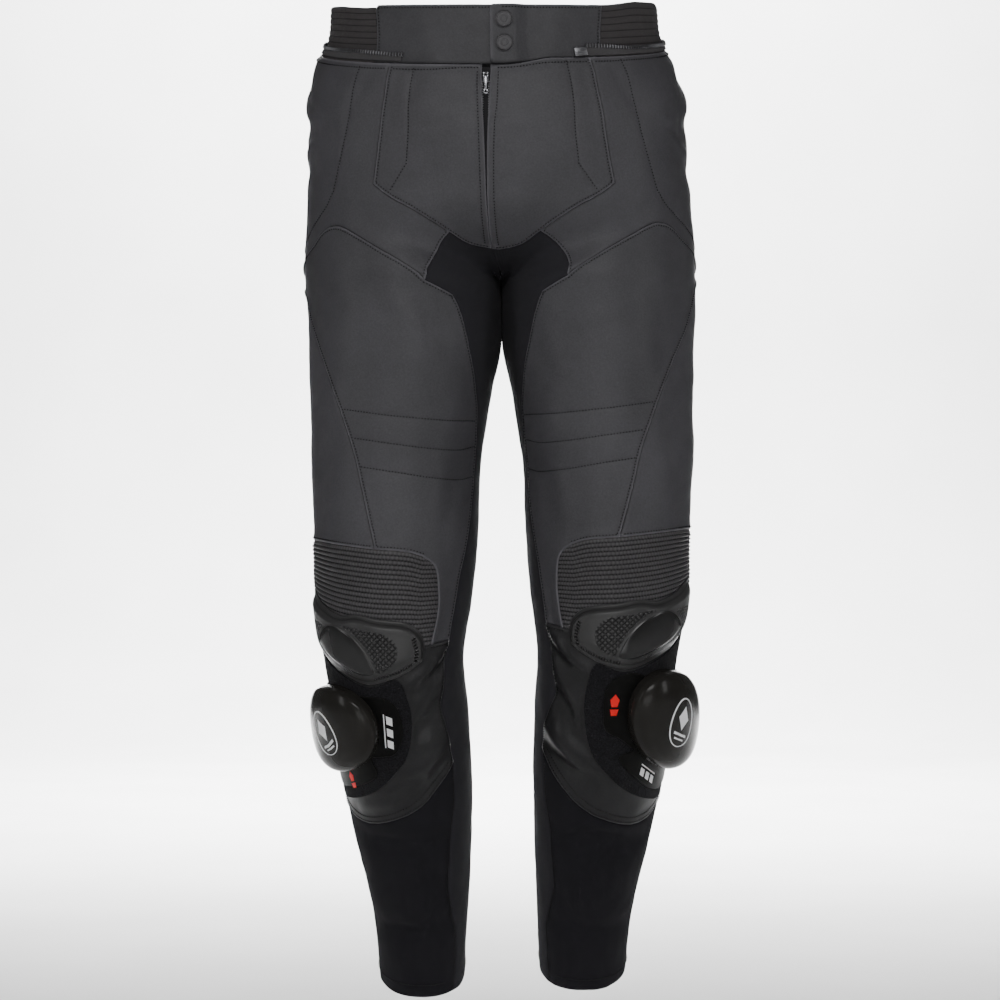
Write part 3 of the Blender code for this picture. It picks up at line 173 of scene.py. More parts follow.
SEAMS = {
    "fly": ((0.0043, BAND_DEPTH), (0.0032, 0.080), (0.0016, 0.120), (0.0004, 0.180), CENTRE_FRONT_END),
    "waist_yoke": ((0.0043, BAND_DEPTH), YOKE_TOP),
    "waist_hip": (YOKE_TOP, SIDE_TOP),
    "waist_back": (SIDE_TOP, (1.0, BAND_DEPTH)),
    "yoke_outer": (YOKE_TOP, (0.1575, 0.083), (0.169, 0.142), YOKE_CORNER),
    "yoke_lower_hip": (YOKE_CORNER, (0.150, 0.1945), (0.108, 0.206), GUSSET_TOP),
    "yoke_lower_crotch": (GUSSET_TOP, (0.038, 0.2295), CENTRE_FRONT_END),
    "gusset": (GUSSET_TOP, (0.126, 0.2400), (0.170, 0.2530), (0.197, 0.2650), GUSSET_HIP),
    "thigh_arc": (THIGH_WING, (0.510, 0.2620), (0.465, 0.2520), (0.398, 0.2390), (0.360, 0.2285),
                  (0.319, 0.2225), (0.2845, 0.2245), (0.250, 0.2420), GUSSET_HIP),
    "thigh_gusset": (GUSSET_HIP, THIGH_CORNER),
    "thigh_inner": (THIGH_CORNER, (0.143, 0.312), (0.116, 0.352), (0.092, 0.385), (0.071, 0.410),
                    (0.057, 0.450), (0.063, 0.485), (0.078, 0.531), (0.096, 0.565), KNEE_INNER),
    "thigh_outer": (THIGH_WING, (0.510, 0.2780), (0.462, 0.2930), (0.423, 0.328), (0.375, 0.375),
                    (0.337, 0.417), (0.310, 0.453), (0.297, 0.484), (0.284, 0.515), THIGH_END),
    "hip_side": (THIGH_WING, SIDE_HIP),
    "knee_step": (KNEE_INNER, RIBS_FOOT),
    "ribs_inner": (RIBS_CORNER, (0.164, 0.550), (0.154, 0.5615), (0.1485, 0.5865), RIBS_FOOT),
    "ribs_top": (RIBS_CORNER, (0.220, 0.5395), THIGH_END),
    "ribs_side": (THIGH_END, (0.347, 0.5335), (0.466, 0.5270), RIBS_SIDE),
    "ribs_foot": (RIBS_FOOT, (0.250, 0.6150), (0.350, 0.6120), (0.460, 0.6030), FOOT_SIDE),
    "side_seat": (SIDE_TOP, (0.620, 0.150), SIDE_HIP),
    "side_thigh": (SIDE_HIP, (0.605, 0.400), RIBS_SIDE),
    "side_knee": (RIBS_SIDE, FOOT_SIDE),
    "side_patch": (FOOT_SIDE, BACK_KNEE_SIDE),
    "side_calf": (BACK_KNEE_SIDE, (0.600, 0.700), ARC_SIDE),
    "side_shin": (ARC_SIDE, (0.635, 0.860), HEM_SIDE),
    "lower_inner": (KNEE_INNER, (0.117, 0.640), (0.124, 0.665), (0.110, 0.690), ARC_INNER),
    "lower_arc": (ARC_INNER, (0.118, 0.7345), (0.173, 0.7510), (0.234, 0.7685), (0.2955, 0.780),
                  (0.355, 0.786), (0.420, 0.785), (0.520, 0.7750), ARC_SIDE),
    "shin_inner": (ARC_INNER, (0.105, 0.765), (0.124, 0.797), (0.143, 0.850), (0.127, 0.886),
                   (0.107, 0.910), HEM_INNER),
    "hem_shin": (HEM_INNER, HEM_SIDE),
    "hem_calf": (HEM_SIDE, HEM_BACK),
    "hem_inner": ((HEM_BACK[0] - 1, HEM_DOWN), HEM_INNER),
    "crotch": (CENTRE_FRONT_END, CROTCH_POINT),
    "centre_back": ((1.0, BAND_DEPTH), (1.0, CROTCH_DOWN)),
    "inseam_top": (CROTCH_POINT, (-0.014, 0.2860), (-0.042, 0.3000), (-0.080, 0.325), (-0.104, 0.370),
                   (-0.112, 0.460), (BACK_KNEE_INNER[0] - 1, BACK_KNEE_INNER[1])),
    "inseam_low": ((BACK_KNEE_INNER[0] - 1, BACK_KNEE_INNER[1]), (-0.112, 0.760),
                   (HEM_BACK[0] - 1, HEM_DOWN)),
    "back_knee": (BACK_KNEE_SIDE, (0.700, 0.600), (0.800, 0.602), BACK_KNEE_INNER),
}

Panel = namedtuple("Panel", "seams wall on_top finish")
# seams: walked round the panel; wall in mm; on_top: seams where its turned edge lies on top.
PANELS = {
    "front_yoke": Panel("waist_yoke yoke_outer yoke_lower_hip yoke_lower_crotch -fly", 2.0,
                        "yoke_outer yoke_lower_hip yoke_lower_crotch fly waist_yoke", "leather_front"),
    "hip_panel": Panel("waist_hip side_seat -hip_side thigh_arc -gusset -yoke_lower_hip -yoke_outer",
                       2.0, "gusset waist_hip", "leather_side"),
    "thigh_front": Panel("thigh_arc thigh_gusset thigh_inner knee_step -ribs_inner ribs_top "
                         "-thigh_outer", 2.0,
                         "thigh_arc thigh_gusset thigh_inner thigh_outer ribs_inner ribs_top",
                         "leather_front"),
    "thigh_side": Panel("thigh_outer ribs_side -side_thigh -hip_side", 2.0, "ribs_side side_thigh",
                        "leather_side"),
    "knee_ribs": Panel("ribs_top ribs_side side_knee -ribs_foot -ribs_inner", 2.0, "", "leather_ribs"),
    "knee_lower": Panel("knee_step ribs_foot side_patch side_calf -lower_arc -lower_inner", 2.0,
                        "lower_arc lower_inner knee_step side_calf", "leather_knee"),
    "shin": Panel("lower_arc side_shin -hem_shin -shin_inner", 1.6, "", "stretch_cloth"),
    "inner_leg": Panel("crotch inseam_top inseam_low hem_inner -shin_inner -lower_inner -thigh_inner "
                       "-thigh_gusset -gusset yoke_lower_crotch", 1.6, "", "stretch_inner"),
    "back_leg": Panel("waist_back centre_back inseam_top+1 -back_knee -side_patch -side_knee "
                      "-side_thigh -side_seat", 2.0, "waist_back centre_back back_knee",
                      "leather_back"),
    "calf": Panel("back_knee inseam_low+1 -hem_calf -side_shin -side_calf", 1.6, "", "stretch_cloth"),
}
LEATHER_PANELS = ("front_yoke", "hip_panel", "thigh_front", "thigh_side", "knee_lower", "back_leg")
STRETCH_PANELS = ("inner_leg", "shin", "calf")

# Rows of stitches inside each panel along its seams, by their distance in mm.
SEAM_ROWS = (
    ("front_yoke", {3.4: "waist_yoke", 2.8: "yoke_outer yoke_lower_hip yoke_lower_crotch", 6.0: "fly"}),
    ("hip_panel", {3.4: "waist_hip", 2.6: "gusset"}),
    ("thigh_front", {2.8: "thigh_arc thigh_gusset thigh_inner thigh_outer"}),
    ("thigh_side", {2.8: "side_thigh", 2.6: "ribs_side"}),
    ("thigh_front", {2.6: "ribs_top"}),
    ("knee_lower", {2.8: "knee_step lower_arc", 8.0: "lower_arc", 2.6: "lower_inner"}),
    ("knee_lower", {2.8: "side_calf"}),
    ("back_leg", {3.4: "waist_back", 2.8: "centre_back back_knee", 8.0: "back_knee"}),
    ("shin", {2.2: "shin_inner side_shin", 13.0: "hem_shin"}),
    ("calf", {13.0: "hem_calf"}), ("inner_leg", {13.0: "hem_inner"}),
)
# Rows of stitches across the panels, by their own places.
FREE_ROWS = (
    places((111, 50), (109.5, 110), (115, 161)),
    places((115, 161), (145, 188.5)),
    places((234.5, 50), (234.5, 98.5), (258, 145), (287, 188)),
    places((287, 188), (322.5, 204.5), (414, 225.5), (500, 244)),
    places((339, 408.5), (242, 417), (157, 419.5), (78, 416.5)),
    places((315, 437), (204.5, 446), (120, 446.5), (67, 440.5)),
    places((296, 464.5), (190, 473.5), (110, 474), (68, 469.5)),
)

CUP_OUTLINE = places(
    (471, 573), (403, 584.5), (350, 590.5), (309, 589), (267.5, 592), (219, 594.5), (193, 600),
    (178, 608), (174, 618.5), (187.5, 627.5), (232, 637), (274.5, 642.5), (306, 643), (354, 638),
    (423.5, 629.5), (474, 616), (484, 593))
CUP_EDGE, CUP_CROWN, CUP_SLOPE, CUP_STUD_PITCH = 2.6 * MM, 7.0 * MM, 13 * MM, 5.6 * MM
CUP_BLADE = places(               # the smooth raised blade across the cup
    (366, 598.5), (333, 602), (309, 608), (289, 617), (278, 625), (272, 633.5), (300, 635.5),
    (335, 631.5), (372, 626), (400, 619.5), (416, 612.5), (398, 603.5))
CUP_FIELDS = (                    # the two fields of raised diamonds
    places((345, 598.5), (289, 601), (258, 603), (240, 607.5), (231, 615.5), (237, 626), (258, 632.5),
           (300, 636.5), (345, 633.5), (345, 615)),
    places((392, 600.5), (440, 596.5), (466, 599), (468, 610), (446, 619), (424, 622), (380, 626),
           (390, 612)),
)
CUP_VENTS = places((203, 606), (195, 616), (195, 625))
CUP_DASHES = places((278, 638.5), (237, 633.5), (201, 626.2))
CUP_VENT_COUNT, CUP_DASH_COUNT = 8, 15
PATCH_OUTLINE = places(
    (232, 639.4), (275, 644.8), (308, 645.3), (354, 640.3), (423.5, 631.8), (478, 619.5), (516, 615),
    (552, 642), (560, 700), (545, 742), (500, 763), (448, 772), (395, 766), (316.5, 749), (268.5, 731),
    (231, 708), (211.5, 678), (214, 657))
SHEET_OUTLINES = {                # the knee slider's sheet: a lobe, a notch and a tab
    "left": places(
        (318, 647.5), (290, 647), (264, 652), (252.5, 662), (253, 678), (260, 692.5), (288, 699),
        (316, 708), (322, 711.5), (300, 713), (290, 716), (306, 726), (342, 740), (380, 752),
        (430, 760), (482, 754), (506, 732), (508, 690), (500, 664), (455, 658), (380, 655.5)),
    "right": places(
        (330, 654), (300, 653.5), (262, 653.5), (240.5, 660), (231, 674.5), (236, 691), (250.5, 703),
        (276, 706.5), (300, 708.5), (303, 713.5), (293.5, 724.5), (312, 734), (346, 743), (384, 750),
        (430, 758), (468, 751), (492, 730), (496, 690), (486, 665), (440, 659), (375, 657)),
}
PATCH_WALL = 1.2 * MM
Puck = namedtuple("Puck", "around down half_around half_down turn rim crown slide")
# Its middle on the pattern, half its size in mm, its turn in degrees, the heights of its rim and
# crown in mm, and how far its crown leans off its foot, round and down, in mm.
PUCKS = {
    "left": Puck(0.4057, 0.6917, 62.0, 40.0, 26, 12.0, 30.5, (0.3, 12.0)),
    "right": Puck(0.3886, 0.6894, 62.6, 39.2, 15, 10.5, 24.0, (-12.0, 7.7)),
}
LAYER_GAP = 0.3 * MM

# ------------------------------------------------------------------ the waist
BAND_FRONT_ENDS, BAND_BACK_START = {"left": (0.204, 0.188), "right": (0.2175, 0.2035)}, 0.620
TAB_END, UNDERLAP_END = 0.0040, -0.0220
TAB_FLAT, TAB_FOOT = 0.028, 0.050
BAND_WALL, BAND_PROUD = 3.0 * MM, 1.0 * MM
ZIP_ROWS, ZIP_ENDS, ZIP_BOX_AROUND = (0.0325, 0.0445), (0.1572, 1.8620), 0.1420
ZIP_CLEARANCE = 0.8 * MM
SNAP_AROUND, SNAP_DOWNS = 0.0165, {"snap_upper": 0.012, "snap_lower": 0.030}
FLY_ZIP_HALF, FLY_ZIP_ROWS, FLY_ZIP_DEPTH = 0.009, (0.0475, 0.1830), 1.3 * MM
FLY_TEETH_OFF = (0.0034, 0.0022)  # the teeth's way off the centre front, at top and foot
FLY_SLIDER_DOWN, FLY_HINGE = 0.0580, (3.0, 3.4)    # its hinge: mm up and out from its middle
THREAD_LIFT = 0.30 * MM
GATHER_PITCH = 3.6 * MM           # of the ribs' gathers


def signed_power(value, power):
    return np.sign(value) * np.abs(value) ** power


def smooth_step(value, low, high):
    t = np.clip((value - low) / (high - low), 0, 1)
    return t * t * (3 - 2 * t)


def hump(distance, width):
    """1 at no distance, falling off smoothly past `width`."""
    return np.exp(-(distance / width) ** 2)


def smooth_between(start, slope_in, end, slope_out, t):
    """A smooth curve from `start` to `end`, with its slopes there, at the share `t` of the way."""
    return (start * (2 * t**3 - 3 * t**2 + 1) + slope_in * (t**3 - 2 * t**2 + t)
            + end * (3 * t**2 - 2 * t**3) + slope_out * (t**3 - t**2))


def between_sections(down, column):
    """A column of SECTIONS read at `down`, on a smooth curve through the rows."""
    xs = np.array([row.down for row in SECTIONS])
    ys = np.array([getattr(row, column) for row in SECTIONS])
    x = np.clip(down, xs[0], xs[-1])
    i = np.clip(np.searchsorted(xs, x, side="right") - 1, 0, len(xs) - 2)
    steps = xs[1:] - xs[:-1]
    rises = (ys[1:] - ys[:-1]) / steps
    slopes = np.empty_like(ys)
    slopes[1:-1] = (rises[:-1] * steps[1:] + rises[1:] * steps[:-1]) / (steps[1:] + steps[:-1])
    slopes[0], slopes[-1] = rises[0], rises[-1]
    return smooth_between(ys[i], slopes[i] * steps[i], ys[i + 1], slopes[i + 1] * steps[i],
                          (x - xs[i]) / steps[i])


def bare_surface(side, around, down):
    """The cloth's outer face without its creases, as an array of points."""
    torso = down < CROTCH_DOWN
    over_front = torso & (around < 0)
    over_back = torso & (around > 1)
    side = np.where(over_front | over_back, -side, side)
    around = np.where(over_front, -around, np.where(over_back, 2 - around, around))
    parting = np.clip((down - FORK_DOWN) / (CROTCH_DOWN - FORK_DOWN), 0, 1)
    at_seam = np.abs(2 * around - 1) ** 3
    depth = FORK_DOWN + (CROTCH_DOWN - FORK_DOWN) * (
        (1 - at_seam) * parting + at_seam * np.sin(parting * math.pi / 2))
    depth = np.where((down > FORK_DOWN) & torso, depth, down)
    legness = ((1 - at_seam) * parting**2 * (3 - 2 * parting)
               + at_seam * (1 - np.cos(parting * math.pi / 2)))
    outer, inner, front, back, tilt, lean = (
        between_sections(depth, name) for name in Section._fields[1:7])
    middle_y, half_y = (front + back) / 2, (back - front) / 2
    torso_x = outer * signed_power(np.sin(math.pi * around), TORSO_POWER)
    torso_y = middle_y - half_y * signed_power(np.cos(math.pi * around), TORSO_POWER)
    half_x, middle_x = (outer - inner) / 2, (outer + inner) / 2
    leg_x = middle_x - half_x * signed_power(np.cos(2 * math.pi * around), LEG_POWER)
    leg_y = middle_y - half_y * signed_power(np.sin(2 * math.pi * around), LEG_POWER)
    x = (1 - legness) * torso_x + legness * leg_x
    y = (1 - legness) * torso_y + legness * leg_y
    z = WAIST_RIM_HEIGHT - depth + (y - middle_y) * tilt
    return np.stack([side * x + lean, y, z], axis=-1)


def smooth_cloth(side, flat):
    """Points and outward normals of the uncreased cloth at the places in `flat`."""
    flat = np.asarray(flat, dtype=float)
    around, down = flat[:, 0], flat[:, 1]
    at_crotch = smooth_step(down, 0.225, 0.255) - smooth_step(down, CROTCH_DOWN, 0.34)
    in_torso = 1 - smooth_step(down, CROTCH_DOWN, 0.34)
    by_centre = (1 - 2 * np.abs(around - np.round(around))) ** 6
    around_here = around - side * (1 - at_crotch * by_centre) * between_sections(down, "turn")
    down_here = down - side * (1 - in_torso * by_centre) * between_sections(down, "slip")
    if side > 0:        # the waist seam runs higher over the left front
        raised = (smooth_step(down, 0.034, 0.050) * (1 - smooth_step(down, 0.055, 0.150))
                  * smooth_step(around, 0.01, 0.09) * (1 - smooth_step(around, 0.48, 0.72)))
        down_here = down_here - WAIST_SEAM_RISE * raised
    else:               # and the right knee's inner seam further out
        pulled_out = (hump(down - 0.715, 0.045) * smooth_step(around, -0.04, 0.05)
                      * (1 - smooth_step(around, 0.13, 0.21)))
        around_here = around_here + KNEE_SEAM_SHIFT * pulled_out
    across = (bare_surface(side, around_here + NUDGE, down_here)
              - bare_surface(side, around_here - NUDGE, down_here))
    along = (bare_surface(side, around_here, down_here + NUDGE)
             - bare_surface(side, around_here, down_here - NUDGE))
    normals = side * np.cross(along, across)
    normals /= np.linalg.norm(normals, axis=1, keepdims=True)
    return bare_surface(side, around_here, down_here), normals


def distance_to_path(flat, path, closed=False):
    """Distance of each place to a path on the flat pattern, and how far along it the nearest is."""
    scale = np.array([LEG_GIRTH, 1.0])
    points = np.asarray(flat, dtype=float) * scale
    corners = np.asarray(path, dtype=float) * scale
    start = corners if closed else corners[:-1]
    run = (np.roll(corners, -1, axis=0) if closed else corners[1:]) - start
    length = np.maximum(np.linalg.norm(run, axis=1), 1e-9)
    best = np.full(len(points), np.inf)
    along = np.zeros(len(points))
    travelled = 0.0
    for origin, step, size in zip(start, run, length):
        offset = points - origin
        t = np.clip(offset @ step / size**2, 0, 1)
        off = np.hypot(*(offset - t[:, None] * step).T)
        nearer = off < best
        best[nearer] = off[nearer]
        along[nearer] = travelled + t[nearer] * size
        travelled += size
    return best, along / travelled


def inside_outline(flat, outline):
    """Which places lie inside a closed outline."""
    points, start = np.asarray(flat, dtype=float), np.asarray(outline, dtype=float)
    end = np.roll(start, -1, axis=0)
    inside = np.zeros(len(points), dtype=bool)
    for (x0, y0), (x1, y1) in zip(start, end):
        crosses = (y0 > points[:, 1]) != (y1 > points[:, 1])
        if y0 != y1:
            inside ^= crosses & (points[:, 0] < x0 + (points[:, 1] - y0) * (x1 - x0) / (y1 - y0))
    return inside


def signed_distance(flat, outline):
    """Distance to a closed outline, below zero inside."""
    off, _ = distance_to_path(flat, outline, closed=True)
    return np.where(inside_outline(flat, outline), -off, off)


def ripple(flat, size, seed, waves=9):
    """A smooth random height from -1 to 1 over the pattern, with humps about `size` across."""
    chance = np.random.default_rng(seed)
    points = np.asarray(flat) * (LEG_GIRTH, 1.0)
    total = np.zeros(len(points))
    for _ in range(waves):
        turn = chance.uniform(0, 2 * math.pi)
        pitch = 2 * math.pi / (size * chance.uniform(0.7, 1.6))
        total += np.sin(points @ (math.cos(turn) * pitch, math.sin(turn) * pitch)
                        + chance.uniform(0, 2 * math.pi))
    return total / math.sqrt(waves) / 1.4


def smooth_curve(corners, step, closed=False):
    """Places along a smooth curve through `corners`, about `step` apart."""
    knots = [Vector((around * LEG_GIRTH, down)) for around, down in corners]
    count = len(knots)
    curve = []
    for i in range(count if closed else count - 1):
        here, there = knots[i], knots[(i + 1) % count]
        before = knots[i - 1] if closed or i > 0 else here * 2 - there
        after = knots[(i + 2) % count] if closed or i + 2 < count else there * 2 - here
        pieces = max(1, round((there - here).length / step))
        for k in range(pieces):
            point = smooth_between(here, (there - before) * 0.5, there, (after - here) * 0.5, k / pieces)
            curve.append((point.x / LEG_GIRTH, point.y))
    if not closed:
        curve.append(tuple(corners[-1]))
    return curve


def within(flat, corners, step=2 * MM):
    """How far each place is inside a smooth closed curve through `corners`; below zero outside."""
    return -signed_distance(flat, smooth_curve(corners, step, closed=True))


def lifted(points, normals, height):
    """Points moved out along their normals, all by one height or each by its own."""
    return points + normals * np.broadcast_to(height, len(points))[:, None]


def pressed_together(flat):
    """1 where the two legs touch each other below the crotch, 0 away from there."""
    around, down = flat[:, 0] - np.round(flat[:, 0]), flat[:, 1]
    level = smooth_step(down, 0.250, 0.272) * (1 - smooth_step(down, 0.326, 0.382))
    return level * hump(around * LEG_GIRTH, 15 * MM)


def crease_height(side, flat):
    """How far the creases and the leather's own softness lift the cloth."""
    flat = np.asarray(flat, dtype=float)
    height = 0.65 * MM * ripple(flat, 0.075, 11 + side) + 0.20 * MM * ripple(flat, 0.026, 21 + side)
    height *= smooth_step(flat[:, 1], 0.046, 0.10)
    for crease in CREASES:
        if crease.side != "both" and SIDES[crease.side] != side:
            continue
        path = np.array(smooth_curve(places(*crease.corners), 12 * MM))
        reach = 3 * crease.width * MM
        low, high = path.min(0) - (reach / LEG_GIRTH, reach), path.max(0) + (reach / LEG_GIRTH, reach)
        near = np.flatnonzero(((flat > low) & (flat < high)).all(1))
        if not len(near):
            continue
        off, along = distance_to_path(flat[near], path)
        swell = 0.45 + 0.55 * np.sin(math.pi * along)
        height[near] += crease.height * MM * swell * hump(off, crease.width * MM)
    near = np.flatnonzero((flat[:, 1] > 0.55) & (flat[:, 1] < 0.80))
    if len(near):
        for outline in (CUP_OUTLINE, PATCH_OUTLINE):
            height[near] *= smooth_step(-within(flat[near], outline, 5 * MM), -1 * MM, 8 * MM)
    return height * (1 - pressed_together(flat))


def on_cloth(side, flat):
    """Points and outward normals of the creased cloth."""
    flat = np.asarray(flat, dtype=float)
    points, normals = smooth_cloth(side, flat)
    points = lifted(points, normals, crease_height(side, flat))
    middle = between_sections(flat[:, 1], "lean") - side * 0.2 * MM
    points[:, 0] += pressed_together(flat) * (middle - points[:, 0])
    return points, normals


def reached(flat, vectors):
    """The places reached from `flat` by short steps in space along the left half's cloth."""
    flat = np.asarray(flat, dtype=float)
    across, along = ((smooth_cloth(1, flat + nudge)[0] - smooth_cloth(1, flat - nudge)[0]) / (2 * NUDGE)
                     for nudge in ((NUDGE, 0), (0, NUDGE)))
    a, b, c = (across * across).sum(1), (across * along).sum(1), (along * along).sum(1)
    p, q = (across * vectors).sum(1), (along * vectors).sum(1)
    det = a * c - b * b
    return flat + np.stack([(c * p - b * q) / det, (a * q - b * p) / det], axis=1)


def square_to(path, closed=True):
    """Unit steps on the cloth, square to a path: inwards where it runs anticlockwise."""
    points, normals = smooth_cloth(1, path)
    run = (np.roll(points, -1, axis=0) - np.roll(points, 1, axis=0) if closed
           else np.gradient(points, axis=0))
    return np.cross(run / np.maximum(np.linalg.norm(run, axis=1, keepdims=True), 1e-9), normals)


def row_along(path, offset, panel_outline=None):
    """A path moved sideways by `offset` metres on the cloth, to the side inside the panel."""
    path = np.array(path, dtype=float)
    square = -square_to(path, closed=False)
    if panel_outline is not None:
        middle = slice(len(path) // 2, len(path) // 2 + 1)
        if not inside_outline(reached(path[middle], square[middle] * 2 * MM), panel_outline)[0]:
            square = -square
    return reached(path, square * offset)


# ------------------------------------------------------------------ meshes from the flat pattern
def seam_places(name, step):
    """One seam's places; a leading "-" walks it backwards, an ending "+1" takes it a turn on."""
    walked = smooth_curve(SEAMS[name.removeprefix("-").removesuffix("+1")], step)
    if name.endswith("+1"):
        walked = [(around + 1, down) for around, down in walked]
    return walked[::-1] if name.startswith("-") else walked


def outline_of(panel, step):
    """The places round a panel, seam after seam."""
    return [place for seam in PANELS[panel].seams.split() for place in seam_places(seam, step)[:-1]]


def anticlockwise(outline):
    corners = np.array(outline)
    after = np.roll(corners, -1, axis=0)
    area = (corners[:, 0] * after[:, 1] - after[:, 0] * corners[:, 1]).sum()
    return [tuple(corner) for corner in (corners if area > 0 else corners[::-1])]


def staggered_net(outline, step, margin):
    """A staggered net of places inside an outline, `margin` clear of it."""
    low, high = np.min(outline, axis=0), np.max(outline, axis=0)
    step_around, step_down = step / LEG_GIRTH, step * 0.87
    net = []
    for row in range(int((high[1] - low[1]) / step_down) + 1):
        start = low[0] + 0.5 * (row % 2) * step_around
        net += [(around, low[1] + row * step_down) for around in np.arange(start, high[0], step_around)]
    net = np.array(net)
    return net[signed_distance(net, outline) < -margin]


def filled(outline, inner):
    """Flat places and triangles over a closed outline and the places inside it."""
    outline = anticlockwise(outline)
    flat = [Vector((around * LEG_GIRTH, down)) for around, down in list(outline) + list(inner)]
    verts, _, faces, _, _, owners = delaunay_2d_cdt(flat, [], [list(range(len(outline)))], 0, 1e-7)
    faces = np.array([face for face, owner in zip(faces, owners) if owner])
    return np.array([(vert.x / LEG_GIRTH, vert.y) for vert in verts]), faces


def grid_faces(columns, rows):
    """Triangles over a grid of places, column by column."""
    faces = []
    for column in range(columns - 1):
        for row in range(rows - 1):
            a = column * rows + row
            faces += [(a, a + rows, a + rows + 1), (a, a + rows + 1, a + 1)]
    return np.array(faces)


def rim_edges(faces):
    """The directed edges round a patch of triangles."""
    edges = np.concatenate([faces[:, [0, 1]], faces[:, [1, 2]], faces[:, [2, 0]]])
    known = {tuple(edge) for edge in edges}
    return [edge for edge in map(tuple, edges) if edge[::-1] not in known]


def girth_at(down):
    """The cloth's length round one half, from the centre front to the centre back, at `down`."""
    around = np.linspace(0, 1, 40)
    lengths = []
    for level in np.atleast_1d(down):
        points, _ = smooth_cloth(1, np.stack([around, np.full(40, level)], axis=1))
        lengths.append(np.linalg.norm(np.diff(points, axis=0), axis=1).sum())
    return np.array(lengths)


GIRTH_LEVELS = np.linspace(0, HEM_DOWN, 60)
GIRTHS = girth_at(GIRTH_LEVELS)


def pattern_uv(flat):
    """The places in metres on the cloth, for weaves and grains that follow it."""
    girth = np.interp(flat[:, 1], GIRTH_LEVELS, GIRTHS)
    return np.stack([(flat[:, 0] - 0.5) * girth, -flat[:, 1]], axis=1)


def linked(name, data):
    """A new object in the scene."""
    made = bpy.data.objects.new(name, data)
    bpy.context.scene.collection.objects.link(made)
    return made


def keep_mark(mesh, name, values, kind="FLOAT", key="value"):
    """Keeps a number, or a vector, at each of a mesh's points."""
    layer = mesh.attributes.new(name, kind, "POINT")
    layer.data.foreach_set(key, np.asarray(values, dtype=np.float32).ravel())


def face_out(mesh):
    """Turns the faces of a closed mesh outwards."""
    sheet = bmesh.new()
    sheet.from_mesh(mesh)
    bmesh.ops.recalc_face_normals(sheet, faces=sheet.faces)
    sheet.to_mesh(mesh)
    sheet.free()


def make_piece(name, points, faces, finishes, marks=None, uv=None, material_of=None, sharp=50):
    """An object from points and faces, with its materials, attributes and UV map."""
    mesh = bpy.data.meshes.new(name)
    mesh.from_pydata([tuple(point) for point in points], [], [tuple(map(int, face)) for face in faces])
    for finish in finishes:
        mesh.materials.append(finish_named(finish))
    if material_of is not None:
        mesh.polygons.foreach_set("material_index", np.asarray(material_of, dtype=np.int32))
    for key, values in (marks or {}).items():
        keep_mark(mesh, key, values)
    if uv is not None:
        corners = np.empty(len(mesh.loops), dtype=np.int32)
        mesh.loops.foreach_get("vertex_index", corners)
        layer = mesh.uv_layers.new(name="Pattern")
        layer.data.foreach_set("uv", np.asarray(uv)[corners].astype(np.float32).ravel())
    mesh.shade_smooth()
    if sharp:
        mesh.set_sharp_from_angle(angle=math.radians(sharp))
    mesh.update()
    return linked(name, mesh)


def closed_wall(name, outer, inner, faces, finishes, marks=None, uv=None):
    """A closed wall between two layers of points: outer face, inner face and the rim between them."""
    count = len(outer)
    rim = [(b, a, a + count, b + count) for a, b in rim_edges(faces)]
    every = [tuple(face) for face in faces] + [tuple(face[::-1] + count) for face in faces] + rim
    kinds = [0] * len(faces) + [len(finishes) - 1] * len(faces) + [0] * len(rim)
    doubled = {key: np.concatenate([values, values]) for key, values in (marks or {}).items()}
    if uv is not None:
        uv = np.concatenate([uv, uv])
    return make_piece(name, np.concatenate([outer, inner]), every, finishes, doubled, uv, kinds)


def wall_piece(name, side, flat, faces, outer, inner, finishes, marks=None):
    """A closed wall over a patch of the pattern, from the height `inner` over the cloth to `outer`."""
    points, normals = on_cloth(side, flat)
    if side > 0:
        faces = faces[:, ::-1]
    return closed_wall(name, lifted(points, normals, outer), lifted(points, normals, inner), faces,
                       finishes, marks, pattern_uv(flat))


def cut_size(flat, faces):
    """The flat cut of a piece: (width, length) of its bounding rectangle, and its area."""
    points, _ = smooth_cloth(1, flat)
    a, b, c = (points[faces[:, k]] for k in range(3))
    area = float(np.linalg.norm(np.cross(b - a, c - a), axis=1).sum() / 2)
    spread = pattern_uv(flat)
    spread = spread - spread.mean(0)
    best = None
    for turn in np.radians(np.arange(0, 90, 3)):
        turned = spread @ np.array([[math.cos(turn), -math.sin(turn)], [math.sin(turn), math.cos(turn)]])
        size = np.ptp(turned, axis=0)
        if best is None or size.prod() < best.prod():
            best = size
    stretch = math.sqrt(max(1.0, area / (best.prod() * 0.98)))
    return tuple(float(value) * stretch for value in best), area


def finish_piece(piece, slot, *nodes, body=BODY):
    """Hangs a piece on its body and hides the frame's parts that it stands for."""
    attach(piece, body)
    if nodes:
        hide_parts(*nodes)


def declare_cloth(flat, faces, sewn_to):
    """Works out a piece's flat cut and its area, and keeps neither; `sewn_to` is not used."""
    size, area = cut_size(flat, faces)
    area = min(area, size[0] * size[1] * 0.999)


# ------------------------------------------------------------------ what a user may change
def length_property(name, description, default, low, high):
    """A length, given in millimetres."""
    return FloatProperty(name=name, description=description, default=default * MM, min=low * MM,
                         max=high * MM, unit="LENGTH")


def colour_property(name, description, default):
    return FloatVectorProperty(name=name, description=description, default=default, size=3, min=0,
                               max=1, subtype="COLOR")


